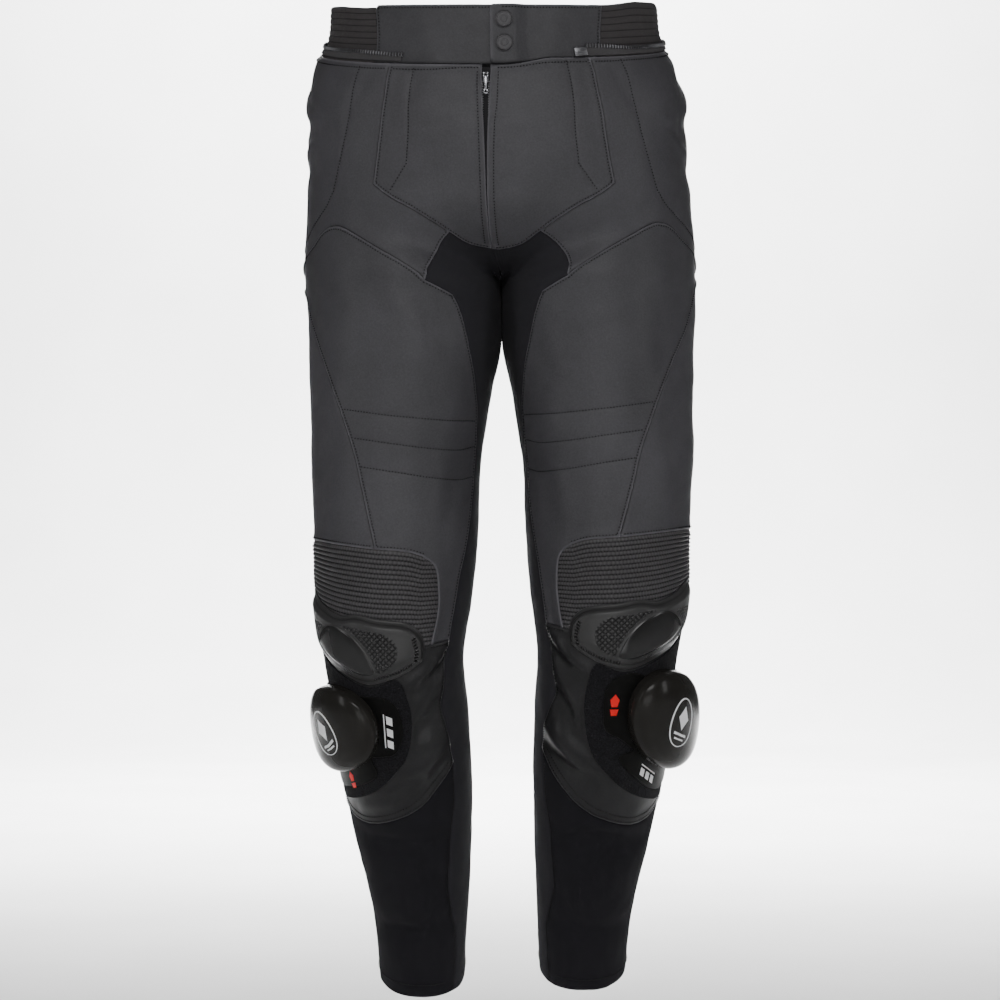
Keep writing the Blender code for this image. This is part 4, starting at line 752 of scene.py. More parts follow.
class TrouserSizes(bpy.types.PropertyGroup):
    """Sizes of the cloth's points, its seams and what is sewn and fitted on."""
    cloth_step: length_property("Cloth step", "Distance between the cloth's points", 4.2, 2, 20)
    cup_step: length_property("Cup step", "Distance between the knee cups' points", 0.60, 0.4, 5)
    lip_height: length_property("Lip height", "How far a turned edge stands up", 1.0, 0, 2)
    groove_depth: length_property("Groove depth", "How far stitches pull the cloth in", 0.28, 0, 1)
    stitch_pitch: length_property("Stitch pitch", "Distance from stitch to stitch", 3.0, 1.5, 8)
    stitch_length: length_property("Stitch length", "Length of one stitch", 1.8, 1, 6)
    thread_width: length_property("Thread width", "Thickness of the sewing thread", 1.3, 0.2, 2)
    rib_height: length_property("Knee rib height", "Height of the leather ribs", 2.1, 0, 3)
    rib_count: IntProperty(name="Knee ribs", description="Number of ribs over each knee",
                           default=20, min=4, max=40)
    elastic_rib_height: length_property("Elastic rib height", "Height of its ribs", 0.7, 0, 3)
    elastic_ribs: IntProperty(name="Elastic ribs", description="Number of ribs in the elastic",
                              default=6, min=2, max=20)
    tooth_pitch: length_property("Tooth pitch", "Distance between a zip's teeth", 3.0, 1, 6)


class TrouserColours(bpy.types.PropertyGroup):
    """Colours of the leather, cloths, plastics and metals; the leather and the stretch cloth come in
    lighter and darker copies by part, painted light and shade.
    """
    # one leather: the front, band, side, back, knee and rib colours are lighter or darker copies of it by
    # part, painted light and shade
    leather_front: colour_property("Front leather", "Yokes and thighs", (0.0570, 0.0556, 0.0613))
    leather_band: colour_property("Band leather", "Waistband in front", (0.0455, 0.0445, 0.0490))
    leather_side: colour_property("Side leather", "Hips and outer thighs", (0.0605, 0.0588, 0.0652))
    leather_back: colour_property("Back leather", "Seat, waistband behind", (0.0400, 0.0389, 0.0430))
    leather_knee: colour_property("Knee leather", "Below the knees", (0.0185, 0.0181, 0.0193))
    leather_ribs: colour_property("Rib leather", "Ribs over the knees", (0.0880, 0.0850, 0.0885))
    stretch_cloth: colour_property("Stretch cloth", "Shins and calves", (0.0132, 0.0127, 0.0152))
    # the inner stretch is a lighter copy of the stretch cloth for the shaded crotch: painted light
    stretch_inner: colour_property("Inner stretch", "Crotch, inner legs", (0.0235, 0.0228, 0.0262))
    ribbed_elastic: colour_property("Elastic", "Sides of the waistband", (0.0470, 0.0435, 0.0445))
    loop_pile: colour_property("Loop pile", "Patches under sliders", (0.0110, 0.0106, 0.0125))
    slider_sheet: colour_property("Slider sheet", "Carries the slider", (0.0040, 0.0039, 0.0037))
    moulded_rubber: colour_property("Cup", "Moulded knee cups", (0.0350, 0.0345, 0.0350))
    slider_plastic: colour_property("Slider", "Knee sliders", (0.0175, 0.0164, 0.0148))
    dark_metal: colour_property("Dark metal", "Fly zip's teeth and slider", (0.10, 0.10, 0.105))
    bright_metal: colour_property("Bright metal", "Fly pull", (0.30, 0.30, 0.32))
    tooth_metal: colour_property("Tooth metal", "Connection zip and box", (0.19, 0.19, 0.20))
    coated_metal: colour_property("Coated metal", "Snaps", (0.050, 0.048, 0.052))
    thread: colour_property("Thread", "Sewing thread", (0.0035, 0.0033, 0.0038))
    lining: colour_property("Lining", "Inside of the cloth", (0.016, 0.016, 0.017))
    zip_tape: colour_property("Fly tape", "Tape of the fly zip", (0.026, 0.0255, 0.0275))
    waist_zip_tape: colour_property("Waist tape", "Connection zip's tape", (0.060, 0.058, 0.060))
    pale_mark: colour_property("Pale mark", "Shapes on sliders and sheets", (0.95, 0.97, 1.0))
    red_mark: colour_property("Red mark", "Shapes on the sheets", (0.95, 0.012, 0.010))
    studio: colour_property("Studio", "Floor and backdrop", (0.86, 0.86, 0.86))


def sizes():
    return bpy.context.scene.trouser_sizes


# ------------------------------------------------------------------ node trees
class Value:
    """A node's socket that Python's own arithmetic works on."""

    def __init__(self, maker, socket):
        self.maker, self.socket = maker, socket

    def maths(self, operation, *values, clamp=False):
        return self.maker.node("ShaderNodeMath", {"operation": operation, "use_clamp": clamp},
                               dict(enumerate(values)))

    def __add__(self, other):
        return self.maths("ADD", self, other)

    def __sub__(self, other):
        return self.maths("SUBTRACT", self, other)

    def __rsub__(self, other):
        return self.maths("SUBTRACT", other, self)

    def __mul__(self, other):
        return self.maths("MULTIPLY", self, other)

    def __truediv__(self, other):
        return self.maths("DIVIDE", self, other)

    def __pow__(self, other):
        return self.maths("POWER", self, other)

    __radd__, __rmul__ = __add__, __mul__

    def clipped(self):
        return self.maths("ADD", self, 0.0, clamp=True)

    def sine(self):
        return self.maths("SINE", self)

    def ridges(self):
        """0 where the value is whole, 1 half way between."""
        return self.maths("ABSOLUTE", (self * math.pi).sine())


class NodeTree:
    """A tree in the making."""

    def __init__(self, tree):
        self.tree = tree

    def node(self, kind, settings=None, sockets=None, output=0):
        """Adds a node, its settings first, then its sockets' values or links; gives one output."""
        made = self.tree.nodes.new(kind)
        for key, value in (settings or {}).items():
            setattr(made, key, value)
        for key, value in (sockets or {}).items():
            if isinstance(value, Value):
                self.tree.links.new(value.socket, made.inputs[key])
            else:
                made.inputs[key].default_value = value
        return Value(self, made.outputs[output])


def times(colour, factor):
    return tuple(min(1, part * factor) for part in colour)


# ------------------------------------------------------------------ finishes
class Finish(NodeTree):
    """A material in the making; its surface is one Principled shader."""

    def __init__(self, name, **constants):
        self.material = bpy.data.materials.new(name)
        self.material.use_nodes = True
        super().__init__(self.material.node_tree)
        self.tree.nodes.clear()
        self.shader = self.tree.nodes.new("ShaderNodeBsdfPrincipled")
        output = self.tree.nodes.new("ShaderNodeOutputMaterial")
        self.tree.links.new(self.shader.outputs[0], output.inputs["Surface"])
        for key, value in constants.items():
            self.shader.inputs[self.label(key)].default_value = value

    @staticmethod
    def label(key):
        return key.replace("_", " ").title().replace("Ior", "IOR")

    def coordinates(self, stretch=None):
        """The object's own coordinates."""
        place = self.node("ShaderNodeTexCoord", output="Object")
        if stretch is None:
            return place
        return self.node("ShaderNodeMapping", {}, {"Vector": place, "Scale": stretch})

    def noise(self, scale, detail=3.0, stretch=None):
        """A noise from 0 to 1, in `scale` humps a metre."""
        sockets = {"Vector": self.coordinates(stretch), "Scale": scale, "Detail": detail}
        return self.node("ShaderNodeTexNoise", {"noise_dimensions": "3D"}, sockets)

    def cells(self, scale):
        return self.node("ShaderNodeTexVoronoi", {}, {"Vector": self.coordinates(), "Scale": scale})

    def mark(self, name):
        """A value kept at the piece's points."""
        return self.node("ShaderNodeAttribute", {"attribute_name": name}, output="Fac")

    def blend(self, factor, first, second):
        """A colour between two others."""
        colours = [(*colour, 1) if isinstance(colour, tuple) else colour for colour in (first, second)]
        return self.node("ShaderNodeMix", {"data_type": "RGBA", "clamp_factor": True},
                         {0: factor, 6: colours[0], 7: colours[1]}, output=2)

    def shades(self, colour, low, high, factor):
        """A colour from `low` to `high` times its brightness."""
        return self.blend(factor, times(colour, low), times(colour, high))

    def in_valleys(self, width):
        """1 deep between a piece's ribs, 0 on them; `width` is the valley's share of a rib."""
        return (1 - self.mark("phase").ridges() / (math.pi * width)).clipped()

    def set(self, **values):
        for key, value in values.items():
            self.tree.links.new(value.socket, self.shader.inputs[self.label(key)])

    def ends(self, height, **values):
        """Sets what changes over the surface, and a bump in millimetres; gives the material."""
        normal = self.node("ShaderNodeBump", {}, {"Strength": 1.0, "Distance": 1 * MM, "Height": height})
        self.set(normal=normal, **values)
        return self.material


def leather(name, colour, roughness, grain=0.055, ribbed=False, shine=0.27):
    """Full-grain leather: fine pebbled grain, soft cloudy shades, a painted highlight with some wear along
    its turned edges, and painted shade where it tucks under one.
    """
    finish = Finish(name, specular_ior_level=shine)
    clouds = finish.noise(11, 4)
    blotches = finish.noise(70, 3)
    pebbles = finish.cells(820)
    pores = finish.noise(2600, 2)
    # lighter along turned lips: a painted highlight, mixed with some wear that the blotches vary
    wear_and_highlight = finish.mark("lip") * (blotches * 0.7 + 0.4).clipped()
    shade = (clouds * 1.2 + finish.noise(620, 3) * 0.9 - 0.55).clipped()
    skin = finish.shades(colour, 0.74, 1.28, shade)
    # darker where a panel is tucked under a neighbour's lip or the band's fold: painted shade
    skin = finish.blend(finish.mark("tucked") * 0.8, skin, times(colour, 0.2))
    skin = finish.blend(wear_and_highlight * 0.85, skin, times(colour, 2.9))
    if ribbed:
        # darker in the valleys between the ribs and in the pinches between gathers: painted shade
        dark = (finish.in_valleys(0.30) * 0.7 + finish.mark("bead") * 0.45).clipped()
        skin = finish.blend(dark, skin, times(colour, 0.16))
    return finish.ends(pebbles * -grain + pores * 0.02 + blotches * 0.12 + finish.noise(240, 2) * 0.12,
                       base_color=skin,
                       roughness=(roughness - 0.07) + blotches * 0.10 + clouds * 0.05 + pebbles * 0.05)


def woven(name, colour, pitch, roughness=0.85, sheen=0.25, ribbed=False):
    """Matt cloth woven on the pattern's own lines."""
    finish = Finish(name, sheen_weight=sheen * 0.10, sheen_roughness=0.5, specular_ior_level=0.07)
    uv = finish.node("ShaderNodeUVMap", {"uv_map": "Pattern"})
    across, along = (finish.node("ShaderNodeSeparateXYZ", {}, {"Vector": uv}, axis) for axis in "XY")
    turn = 2 * math.pi / pitch
    weave = (across * turn).sine() * (along * turn).sine() * 0.5 + 0.5
    fuzz = finish.noise(900, 3)
    yarn = finish.shades(colour, 0.7, 1.5, weave * 0.45 + fuzz * 0.35 + finish.noise(14, 3) * 0.3)
    # darker in the valleys between the elastic's ribs: painted shade
    if ribbed:
        yarn = finish.blend(finish.in_valleys(0.11) * 0.7, yarn, times(colour, 0.1))
    return finish.ends(weave * 0.12 + fuzz * 0.1, base_color=yarn,
                       roughness=roughness - 0.08 + fuzz * 0.16)


def looped_pile(name, colour):
    """The fuzzy looped field of a hook-and-loop fastener."""
    finish = Finish(name, sheen_weight=0.04, sheen_roughness=0.6, specular_ior_level=0.12)
    loops = finish.cells(900)
    fuzz = finish.noise(520, 4)
    pile = finish.shades(colour, 0.45, 1.9, (fuzz * 1.3 - loops * 0.5).clipped())
    return finish.ends(fuzz * 0.8 - loops * 0.5, base_color=pile, roughness=0.86 + fuzz * 0.12)


def moulded(name, colour):
    """The knee cup's soft shell, smooth and glossier on its blade, with painted shade in its sunk grooves,
    vents and rim line.
    """
    finish = Finish(name, specular_ior_level=0.40)
    gloss = finish.mark("gloss")
    dust = finish.noise(60, 4)
    shell = finish.blend(gloss * 0.8, finish.shades(colour, 0.8, 1.25, dust), times(colour, 0.45))
    # painted shade in the sunk grooves, vents, dashes and rim line
    shell = finish.blend(finish.mark("sunk") * 0.8, shell, times(colour, 0.15))
    return finish.ends((1 - gloss) * finish.noise(2200, 2) * 0.03 + dust * 0.05, base_color=shell,
                       roughness=0.36 + dust * 0.08 - gloss * 0.25)


def wear_plastic(name, colour):
    """Glossy moulded plastic with faint flow marks and fine rubbing."""
    finish = Finish(name, coat_weight=0.06, coat_roughness=0.08, specular_ior_level=0.15)
    flow = finish.noise(26, 3)
    rubbed = finish.noise(900, 3, (1, 1, 0.12))
    return finish.ends(finish.noise(150, 2) * 0.03 + rubbed * 0.006,
                       base_color=finish.shades(colour, 0.85, 1.3, flow),
                       roughness=0.17 + flow * 0.09 + rubbed * 0.05)


def metal(name, colour, roughness):
    """Plated metal, a little tarnished and brushed."""
    finish = Finish(name, metallic=1.0)
    tarnish = finish.noise(320, 3)
    brushed = finish.noise(1800, 2, (1, 1, 0.2))
    return finish.ends(brushed * 0.02 + tarnish * 0.02,
                       base_color=finish.shades(colour, 0.7, 1.15, tarnish),
                       roughness=(roughness - 0.06) + tarnish * 0.12 + brushed * 0.08)


def plain_matt(name, colour, roughness, scale=700):
    """Thread, prints and the studio: plain, with a little unevenness."""
    finish = Finish(name, specular_ior_level=0.3)
    speckle = finish.noise(scale, 2)
    return finish.ends(speckle * 0.05, base_color=finish.shades(colour, 0.9, 1.08, speckle),
                       roughness=(roughness - 0.04) + speckle * 0.08)


# band, back and knee leather and the inner stretch cloth are lighter or darker copies of another finish:
# painted light and shade
SLOTS = {"leather_band": "leather_front", "leather_back": "leather_side", "leather_knee": "leather_side",
         "stretch_inner": "stretch_cloth"}         # finishes that share another's slot in the record
FINISHES = {                      # what makes each finish, and its settings
    "leather_front": (leather, {"roughness": 0.47}),
    "leather_band": (leather, {"roughness": 0.47}),
    "leather_side": (leather, {"roughness": 0.50}),
    "leather_back": (leather, {"roughness": 0.50}),
    "leather_knee": (leather, {"roughness": 0.36}),
    "leather_ribs": (leather, {"roughness": 0.45, "ribbed": True}),
    "slider_sheet": (leather, {"roughness": 0.44, "grain": 0.02, "shine": 0.12}),
    "stretch_cloth": (woven, {"pitch": 1.6 * MM}),
    "stretch_inner": (woven, {"pitch": 1.6 * MM}),
    "ribbed_elastic": (woven, {"pitch": 1.1 * MM, "roughness": 0.78, "sheen": 0.3, "ribbed": True}),
    "lining": (woven, {"pitch": 2.4 * MM, "roughness": 0.9, "sheen": 0.2}),
    "zip_tape": (woven, {"pitch": 1.0 * MM, "roughness": 0.8, "sheen": 0.2}),
    "waist_zip_tape": (woven, {"pitch": 1.0 * MM, "roughness": 0.8, "sheen": 0.3}),
    "loop_pile": (looped_pile, {}),
    "moulded_rubber": (moulded, {}),
    "slider_plastic": (wear_plastic, {}),
    "dark_metal": (metal, {"roughness": 0.34}),
    "tooth_metal": (metal, {"roughness": 0.30}),
    "bright_metal": (metal, {"roughness": 0.22}),
    "coated_metal": (plain_matt, {"roughness": 0.42, "scale": 1500}),
    "thread": (plain_matt, {"roughness": 0.6}),
    "pale_mark": (plain_matt, {"roughness": 0.5}),
    "red_mark": (plain_matt, {"roughness": 0.5}),
    "studio": (plain_matt, {"roughness": 0.75, "scale": 3}),
}


def finish_named(name):
    """A finish by its name, made the first time it is asked for."""
    label = name.replace("_", " ").capitalize() + " finish"
    if label not in bpy.data.materials:
        make, settings = FINISHES[name]
        make(label, tuple(getattr(bpy.context.scene.trouser_colours, name)), **settings)
    return bpy.data.materials[label]


# ------------------------------------------------------------------ Geometry Nodes
class ShapeTree(NodeTree):
    """A Geometry Nodes tree with named inputs; it ends in real geometry with one finish."""

    def __init__(self, name, **inputs):
        super().__init__(bpy.data.node_groups.new(name, "GeometryNodeTree"))
        for label, (kind, default) in inputs.items():
            socket = self.tree.interface.new_socket(label, in_out="INPUT", socket_type=f"NodeSocket{kind}")
            if default is not None:
                socket.default_value = default
        self.tree.interface.new_socket("Result", in_out="OUTPUT", socket_type="NodeSocketGeometry")
        given = self.tree.nodes.new("NodeGroupInput").outputs
        self.given = {label: Value(self, given[label]) for label in inputs}

    def mark(self, name, kind="FLOAT"):
        """A value or a vector kept at the piece's points."""
        return self.node("GeometryNodeInputNamedAttribute", {"data_type": kind}, {"Name": name})

    def scaled(self, vector, factor):
        return self.node("ShaderNodeVectorMath", {"operation": "SCALE"}, {0: vector, "Scale": factor})

    def ends(self, geometry):
        real = self.node("GeometryNodeRealizeInstances", {}, {"Geometry": geometry})
        finished = self.node("GeometryNodeSetMaterial", {}, {"Geometry": real,
                                                             "Material": self.given["Finish"]})
        result = self.tree.nodes.new("NodeGroupOutput")
        self.tree.links.new(finished.socket, result.inputs[0])
        return self.tree


@cache
def repeat_tree():
    """Sets a shape at even steps along each path, square to the cloth it runs on."""
    tree = ShapeTree("Repeat along path", Path=("Geometry", None), Shape=("Object", None),
                     Pitch=("Float", 3 * MM), Size=("Vector", (1, 1, 1)), Unevenness=("Float", 0.08),
                     Seed=("Int", 3), Finish=("Material", None))
    given = tree.given
    curve = tree.node("GeometryNodeMeshToCurve", {}, {"Mesh": given["Path"]})
    steps = tree.node("GeometryNodeResampleCurve", {"mode": "LENGTH"},
                      {"Curve": curve, "Length": given["Pitch"]})
    turn = tree.node("FunctionNodeAxesToRotation", {"primary_axis": "X", "secondary_axis": "Z"},
                     {0: tree.node("GeometryNodeInputTangent"), 1: tree.mark("out", "FLOAT_VECTOR")})
    shape = tree.node("GeometryNodeObjectInfo", {"transform_space": "ORIGINAL"},
                      {"Object": given["Shape"]}, "Geometry")
    chance = tree.node("FunctionNodeRandomValue", {"data_type": "FLOAT"},
                       {2: 1 - given["Unevenness"], 3: 1 + given["Unevenness"], "Seed": given["Seed"]}, 1)
    return tree.ends(tree.node("GeometryNodeInstanceOnPoints", {}, {
        "Points": steps, "Instance": shape, "Rotation": turn, "Scale": tree.scaled(given["Size"], chance)}))


@cache
def rib_tree():
    """Raises ribs on a piece, with valleys along the lines where its mark "phase" is whole."""
    tree = ShapeTree("Raise ribs", Piece=("Geometry", None), Height=("Float", 1 * MM),
                     Roundness=("Float", 0.7), Finish=("Material", None))
    given = tree.given
    ridge = tree.mark("phase").ridges() ** given["Roundness"] * tree.mark("fade")
    lift = tree.scaled(tree.mark("out", "FLOAT_VECTOR"), ridge * given["Height"])
    return tree.ends(tree.node("GeometryNodeSetPosition", {}, {"Geometry": given["Piece"],
                                                               "Offset": lift}))


def made_real(piece, tree, **inputs):
    """Runs a tree on a piece and keeps the result as its plain mesh."""
    modifier = piece.modifiers.new(tree.name, "NODES")
    modifier.node_group = tree
    for socket in tree.interface.items_tree:
        if socket.in_out == "INPUT" and socket.name in inputs:
            modifier[socket.identifier] = inputs[socket.name]
    seen = piece.evaluated_get(bpy.context.evaluated_depsgraph_get())
    mesh = bpy.data.meshes.new_from_object(seen)
    piece.modifiers.clear()
    piece.data = mesh
    mesh.name = piece.name
    return piece


def raise_ribs(piece, side, flat, height, roundness, finish):
    """Raises the ribs on the outer face of a wall piece."""
    outs = np.concatenate([on_cloth(side, flat)[1], np.zeros((len(flat), 3))])
    keep_mark(piece.data, "out", outs, "FLOAT_VECTOR", "vector")
    made_real(piece, rib_tree(), Height=height, Roundness=roundness, Finish=finish_named(finish))


def repeated(name, runs, shape, pitch, size, finish, slot, unevenness=0.08, seed=3):
    """A piece of copies of a shape along runs of (points, outward normals), as one plain mesh."""
    points, edges, outs = [], [], []
    for run, normals in runs:
        edges += [(k, k + 1) for k in range(len(points), len(points) + len(run) - 1)]
        points += [tuple(point) for point in run]
        outs += [tuple(normal) for normal in normals]
    mesh = bpy.data.meshes.new(name)
    mesh.from_pydata(points, edges, [])
    keep_mark(mesh, "out", outs, "FLOAT_VECTOR", "vector")
    piece = made_real(linked(name, mesh), repeat_tree(), Shape=shape, Pitch=pitch, Unevenness=unevenness,
                      Size=[float(value) for value in size], Seed=seed, Finish=finish_named(finish))
    finish_piece(piece, slot)


def small_shape(name, corners, faces):
    """A shape to repeat, with its faces turned out."""
    mesh = bpy.data.meshes.new(name)
    mesh.from_pydata(corners, [], faces)
    face_out(mesh)
    return linked(name, mesh)


def ring_faces(count, first, second):
    """Faces between two rings of `count` points that start at these numbers."""
    return [(first + k, first + (k + 1) % count, second + (k + 1) % count, second + k)
            for k in range(count)]


def stitch_shape():
    """One stitch a unit long, pulled into the cloth at both ends."""
    count = 6
    corners, faces = [(-0.5, 0, -0.35)], []
    for x, radius, height in ((-0.30, 0.38, -0.05), (0.0, 0.5, 0.15), (0.30, 0.38, -0.05)):
        turns = [2 * math.pi * k / count for k in range(count)]
        corners += [(x, radius * math.cos(turn), height + radius * math.sin(turn)) for turn in turns]
    corners.append((0.5, 0, -0.35))
    for ring in (1, 1 + count):
        faces += ring_faces(count, ring, ring + count)
    for k in range(count):
        after = (k + 1) % count
        faces += [(0, 1 + k, 1 + after), (1 + 2 * count + after, 1 + 2 * count + k, 1 + 3 * count)]
    shape = small_shape("stitch", corners, faces)
    shape.data.shade_smooth()
    return shape


def tooth_shape():
    """One zip tooth: a rounded peg across the tape with a nose."""
    outline = ((-0.5, -0.5), (0.25, -0.5), (0.42, -0.3), (0.5, 0.0), (0.42, 0.3), (0.25, 0.5), (-0.5, 0.5))
    count, corners = len(outline), []
    for height, scale in ((-0.5, 1.0), (0.25, 1.0), (0.5, 0.72)):
        corners += [(along * scale, across * scale, height) for across, along in outline]
    faces = ring_faces(count, 0, count) + ring_faces(count, count, 2 * count)
    faces += [tuple(range(count)), tuple(range(2 * count, 3 * count))]
    return small_shape("tooth", corners, faces)


# ------------------------------------------------------------------ the panels' own shape
def search_tree(points):
    tree = KDTree(len(points))
    for k, point in enumerate(points):
        tree.insert(point, k)
    tree.balance()
    return tree


def tree_of(paths, step=1 * MM):
    """A search tree of points every millimetre or so along paths on the left half's cloth."""
    points = []
    for path in paths:
        solid, _ = smooth_cloth(1, np.array(path))
        for here, there in zip(solid, solid[1:]):
            pieces = max(1, int(np.linalg.norm(there - here) / step))
            points += [tuple(here + (there - here) * (j / pieces)) for j in range(pieces)]
        points.append(tuple(solid[-1]))
    return search_tree(points)


def distances(flat, tree):
    """How far places on the left half's cloth are from what a search tree holds."""
    return np.array([tree.find(point)[2] for point in smooth_cloth(1, flat)[0]])


def laid_out(outline, step, rings, extra=(), gap=0.12 * MM):
    """Flat places and triangles of one piece, with rings of points close along its edge."""
    outline = np.array(anticlockwise(outline))
    inward = square_to(outline)
    edge = tree_of([np.concatenate([outline, outline[:1]])], 0.7 * MM)
    inner = []
    for offset in rings:
        ring = reached(outline, inward * offset)
        inner += list(ring[inside_outline(ring, outline) & (distances(ring, edge) > 0.88 * offset)])
    net = staggered_net(outline, step, rings[-1] * 0.6)
    net = net[distances(net, edge) > rings[-1] + step * 0.55]
    if len(extra):
        extra = np.array(extra)
        extra = extra[inside_outline(extra, outline) & (distances(extra, edge) > rings[-1] + step * 0.3)]
        taken = search_tree([(around * LEG_GIRTH, down, 0) for around, down in extra])
        net = [(around, down) for around, down in net
               if taken.find((around * LEG_GIRTH, down, 0))[2] > step * 0.55]
    return filled(reached(outline, inward * gap), inner + list(extra) + list(net))


class PanelShape:
    """One panel's pattern, the same for both halves, and the relief of its edges and rows."""

    def __init__(self, name, step):
        self.panel = PANELS[name]
        self.outline = outline_of(name, 4 * MM)
        self.edge = tree_of([self.outline + self.outline[:1]])
        seams = self.panel.seams.replace("-", "").split()
        on_top = [seam for seam in seams if seam.removesuffix("+1") in self.panel.on_top.split()]
        below = [seam for seam in seams if seam not in on_top]
        rows = [smooth_curve(row, 3 * MM) for row in FREE_ROWS]
        rows = [row for row in rows if inside_outline(row[len(row) // 2:][:1], self.outline)[0]]
        self.top, self.below, self.rows = (tree_of(paths) if paths else None for paths in (
            [seam_places(seam, 3 * MM) for seam in on_top],
            [seam_places(seam, 3 * MM) for seam in below], rows))
        beside = [place for row in rows for offset in (-4.2, -2.0, -0.7, 0.7, 2.0, 4.2)
                  for place in row_along(row, offset * MM)]
        rings = (0.7 * MM, 1.8 * MM, 2.9 * MM, 4.2 * MM, 7 * MM)
        self.flat, self.faces = laid_out(self.outline, step, rings, beside)

    def relief(self, flat):
        """Height of the turned edges, grooves and channels at places on the panel, the distance of
        each from its edge, and where it is a turned lip or tucked under one, for the leather's painted
        highlight and painted shade."""
        edge = distances(flat, self.edge)
        height = -0.35 * MM * np.clip(1 - edge / (1 * MM), 0, 1) ** 2
        lip_here = tucked = np.zeros(len(flat))
        if self.top:
            top = distances(flat, self.top)
            # where the leather paints a highlight, with some wear, along its turned lip
            lip_here = np.clip(1.25 - top / (1.5 * MM), 0, 1)
            lip = sizes().lip_height
            height += lip * (1 - smooth_step(top, 1.5 * MM, 10 * MM))
            height -= lip * 0.75 * np.clip(1 - top / (1.2 * MM), 0, 1) ** 2
            height -= sizes().groove_depth * hump(top - 2.8 * MM, 0.9 * MM)
        if self.below:
            below = distances(flat, self.below)
            # where the leather paints shade under a neighbour's lip
            tucked = np.clip(1.2 - below / (1.6 * MM), 0, 1)
            height -= 0.55 * MM * (1 - smooth_step(below, 0, 4 * MM))
        if self.rows:
            off = distances(flat, self.rows)
            height -= 0.22 * MM * hump(off, 1.1 * MM) + 0.30 * MM * hump(off, 4.5 * MM)
        return height, edge, lip_here, tucked


@cache
def panel_shape(name):
    return PanelShape(name, sizes().cloth_step)


def neighbours(name, side_name):
    """The nodes that a panel is sewn to."""
    def seams_of(panel):
        return {seam.removeprefix("-").removesuffix("+1") for seam in PANELS[panel].seams.split()}
    joined = [other for other in PANELS if other != name and seams_of(name) & seams_of(other)]
    return [f"{other}_{side_name}" for other in joined]


def sew_panel(name, side_name):
    """One panel of leather or stretch cloth."""
    shape = panel_shape(name)
    height, _, lip_here, tucked = shape.relief(shape.flat)
    finish = shape.panel.finish
    piece = wall_piece(f"sewn_{name}_{side_name}", SIDES[side_name], shape.flat, shape.faces, height,
                       -shape.panel.wall * MM, (finish, "lining"), {"lip": lip_here, "tucked": tucked})
    finish_piece(piece, SLOTS.get(finish, finish), f"{name}_{side_name}")
    declare_cloth(shape.flat, shape.faces, neighbours(name, side_name))


# ------------------------------------------------------------------ knee ribs
def rib_edges(around):
    """Where the ribs begin and end at `around`."""
    def down_at(name):
        return np.interp(around, *np.array(sorted(seam_places(name, 3 * MM))).T)
    return np.where(around < THIGH_END[0], down_at("ribs_top"), down_at("ribs_side")), down_at("ribs_foot")


def sew_ribs(side_name):
    """The leather over the knee, gathered in ribs."""
    side, count = SIDES[side_name], sizes().rib_count
    outline = outline_of("knee_ribs", 2 * MM)
    columns = np.arange(0.150, 0.584, 1.2 * MM / LEG_GIRTH)
    phases = np.arange(1 / 6, count, 1 / 6)
    grid = np.array([(around, high + (low - high) * phase / count)
                     for around, high, low in zip(columns, *rib_edges(columns)) for phase in phases])
    grid = grid[signed_distance(grid, outline) < -1.0 * MM]
    # under the cup only one place in seven is kept
    grid = grid[(within(grid, CUP_OUTLINE, 4 * MM) < 4 * MM) | (np.arange(len(grid)) % 7 == 0)]
    flat, faces = filled(outline, grid)
    high, low = rib_edges(flat[:, 0])
    phase = (flat[:, 1] - high) / (low - high) * count
    fade = (smooth_step(-signed_distance(flat, outline), 0.5 * MM, 4 * MM)
            * smooth_step(-within(flat, CUP_OUTLINE, 4 * MM), -1 * MM, 4 * MM))
    # gathers along each rib, set half a gather off those of the next
    swing = 2 * math.pi * flat[:, 0] * LEG_GIRTH / GATHER_PITCH + math.pi * np.floor(phase)
    beads = 0.5 + 0.5 * np.cos(swing)
    uneven = 1 + 0.10 * ripple(flat, 0.03, 5)
    # bead: the pinches between gathers, which the rib leather darkens as painted shade
    marks = {"phase": phase, "fade": fade * uneven * (1 - 0.30 * beads), "bead": beads}
    piece = wall_piece(f"sewn_knee_ribs_{side_name}", side, flat, faces, -0.2 * MM * (1 - fade), -2 * MM,
                       ("leather_ribs",), marks)
    raise_ribs(piece, side, flat, sizes().rib_height, 0.75, "leather_ribs")
    finish_piece(piece, "leather_ribs", f"knee_ribs_{side_name}")
    declare_cloth(flat, faces, neighbours("knee_ribs", side_name))


def rib_valleys(side_name):
    """The stitched valleys between the ribs, as runs on the cloth."""
    outline, count = outline_of("knee_ribs", 3 * MM), sizes().rib_count
    around = np.arange(0.152, 0.584, 2 * MM / LEG_GIRTH)
    top, foot = rib_edges(around)
    runs = []
    for number in range(1, count):
        path = np.stack([around, top + (foot - top) * number / count], axis=1)
        fits = signed_distance(path, outline) < -2.5 * MM
        fits &= within(path, CUP_OUTLINE, 4 * MM) < -1.5 * MM
        runs += split_runs(path, fits, SIDES[side_name], 0.15 * MM)
    return runs


def split_runs(path, fits, side, lift):
    """The parts of a path where `fits` holds, as runs of points and normals on the cloth."""
    points, normals = on_cloth(side, path)
    points = lifted(points, normals, lift)
    runs, start = [], None
    for k, here in enumerate(list(fits) + [False]):
        if here and start is None:
            start = k
        elif not here and start is not None:
            if k - start > 2:
                runs.append((points[start:k], normals[start:k]))
            start = None
    return runs


# ------------------------------------------------------------------ cups, patches and sliders
def rounded_edge(distance, radius):
    """How far a rounded edge falls away at a distance from it."""
    t = np.clip(1 - distance / radius, 0, 1)
    return radius * (1 - np.sqrt(1 - t * t))


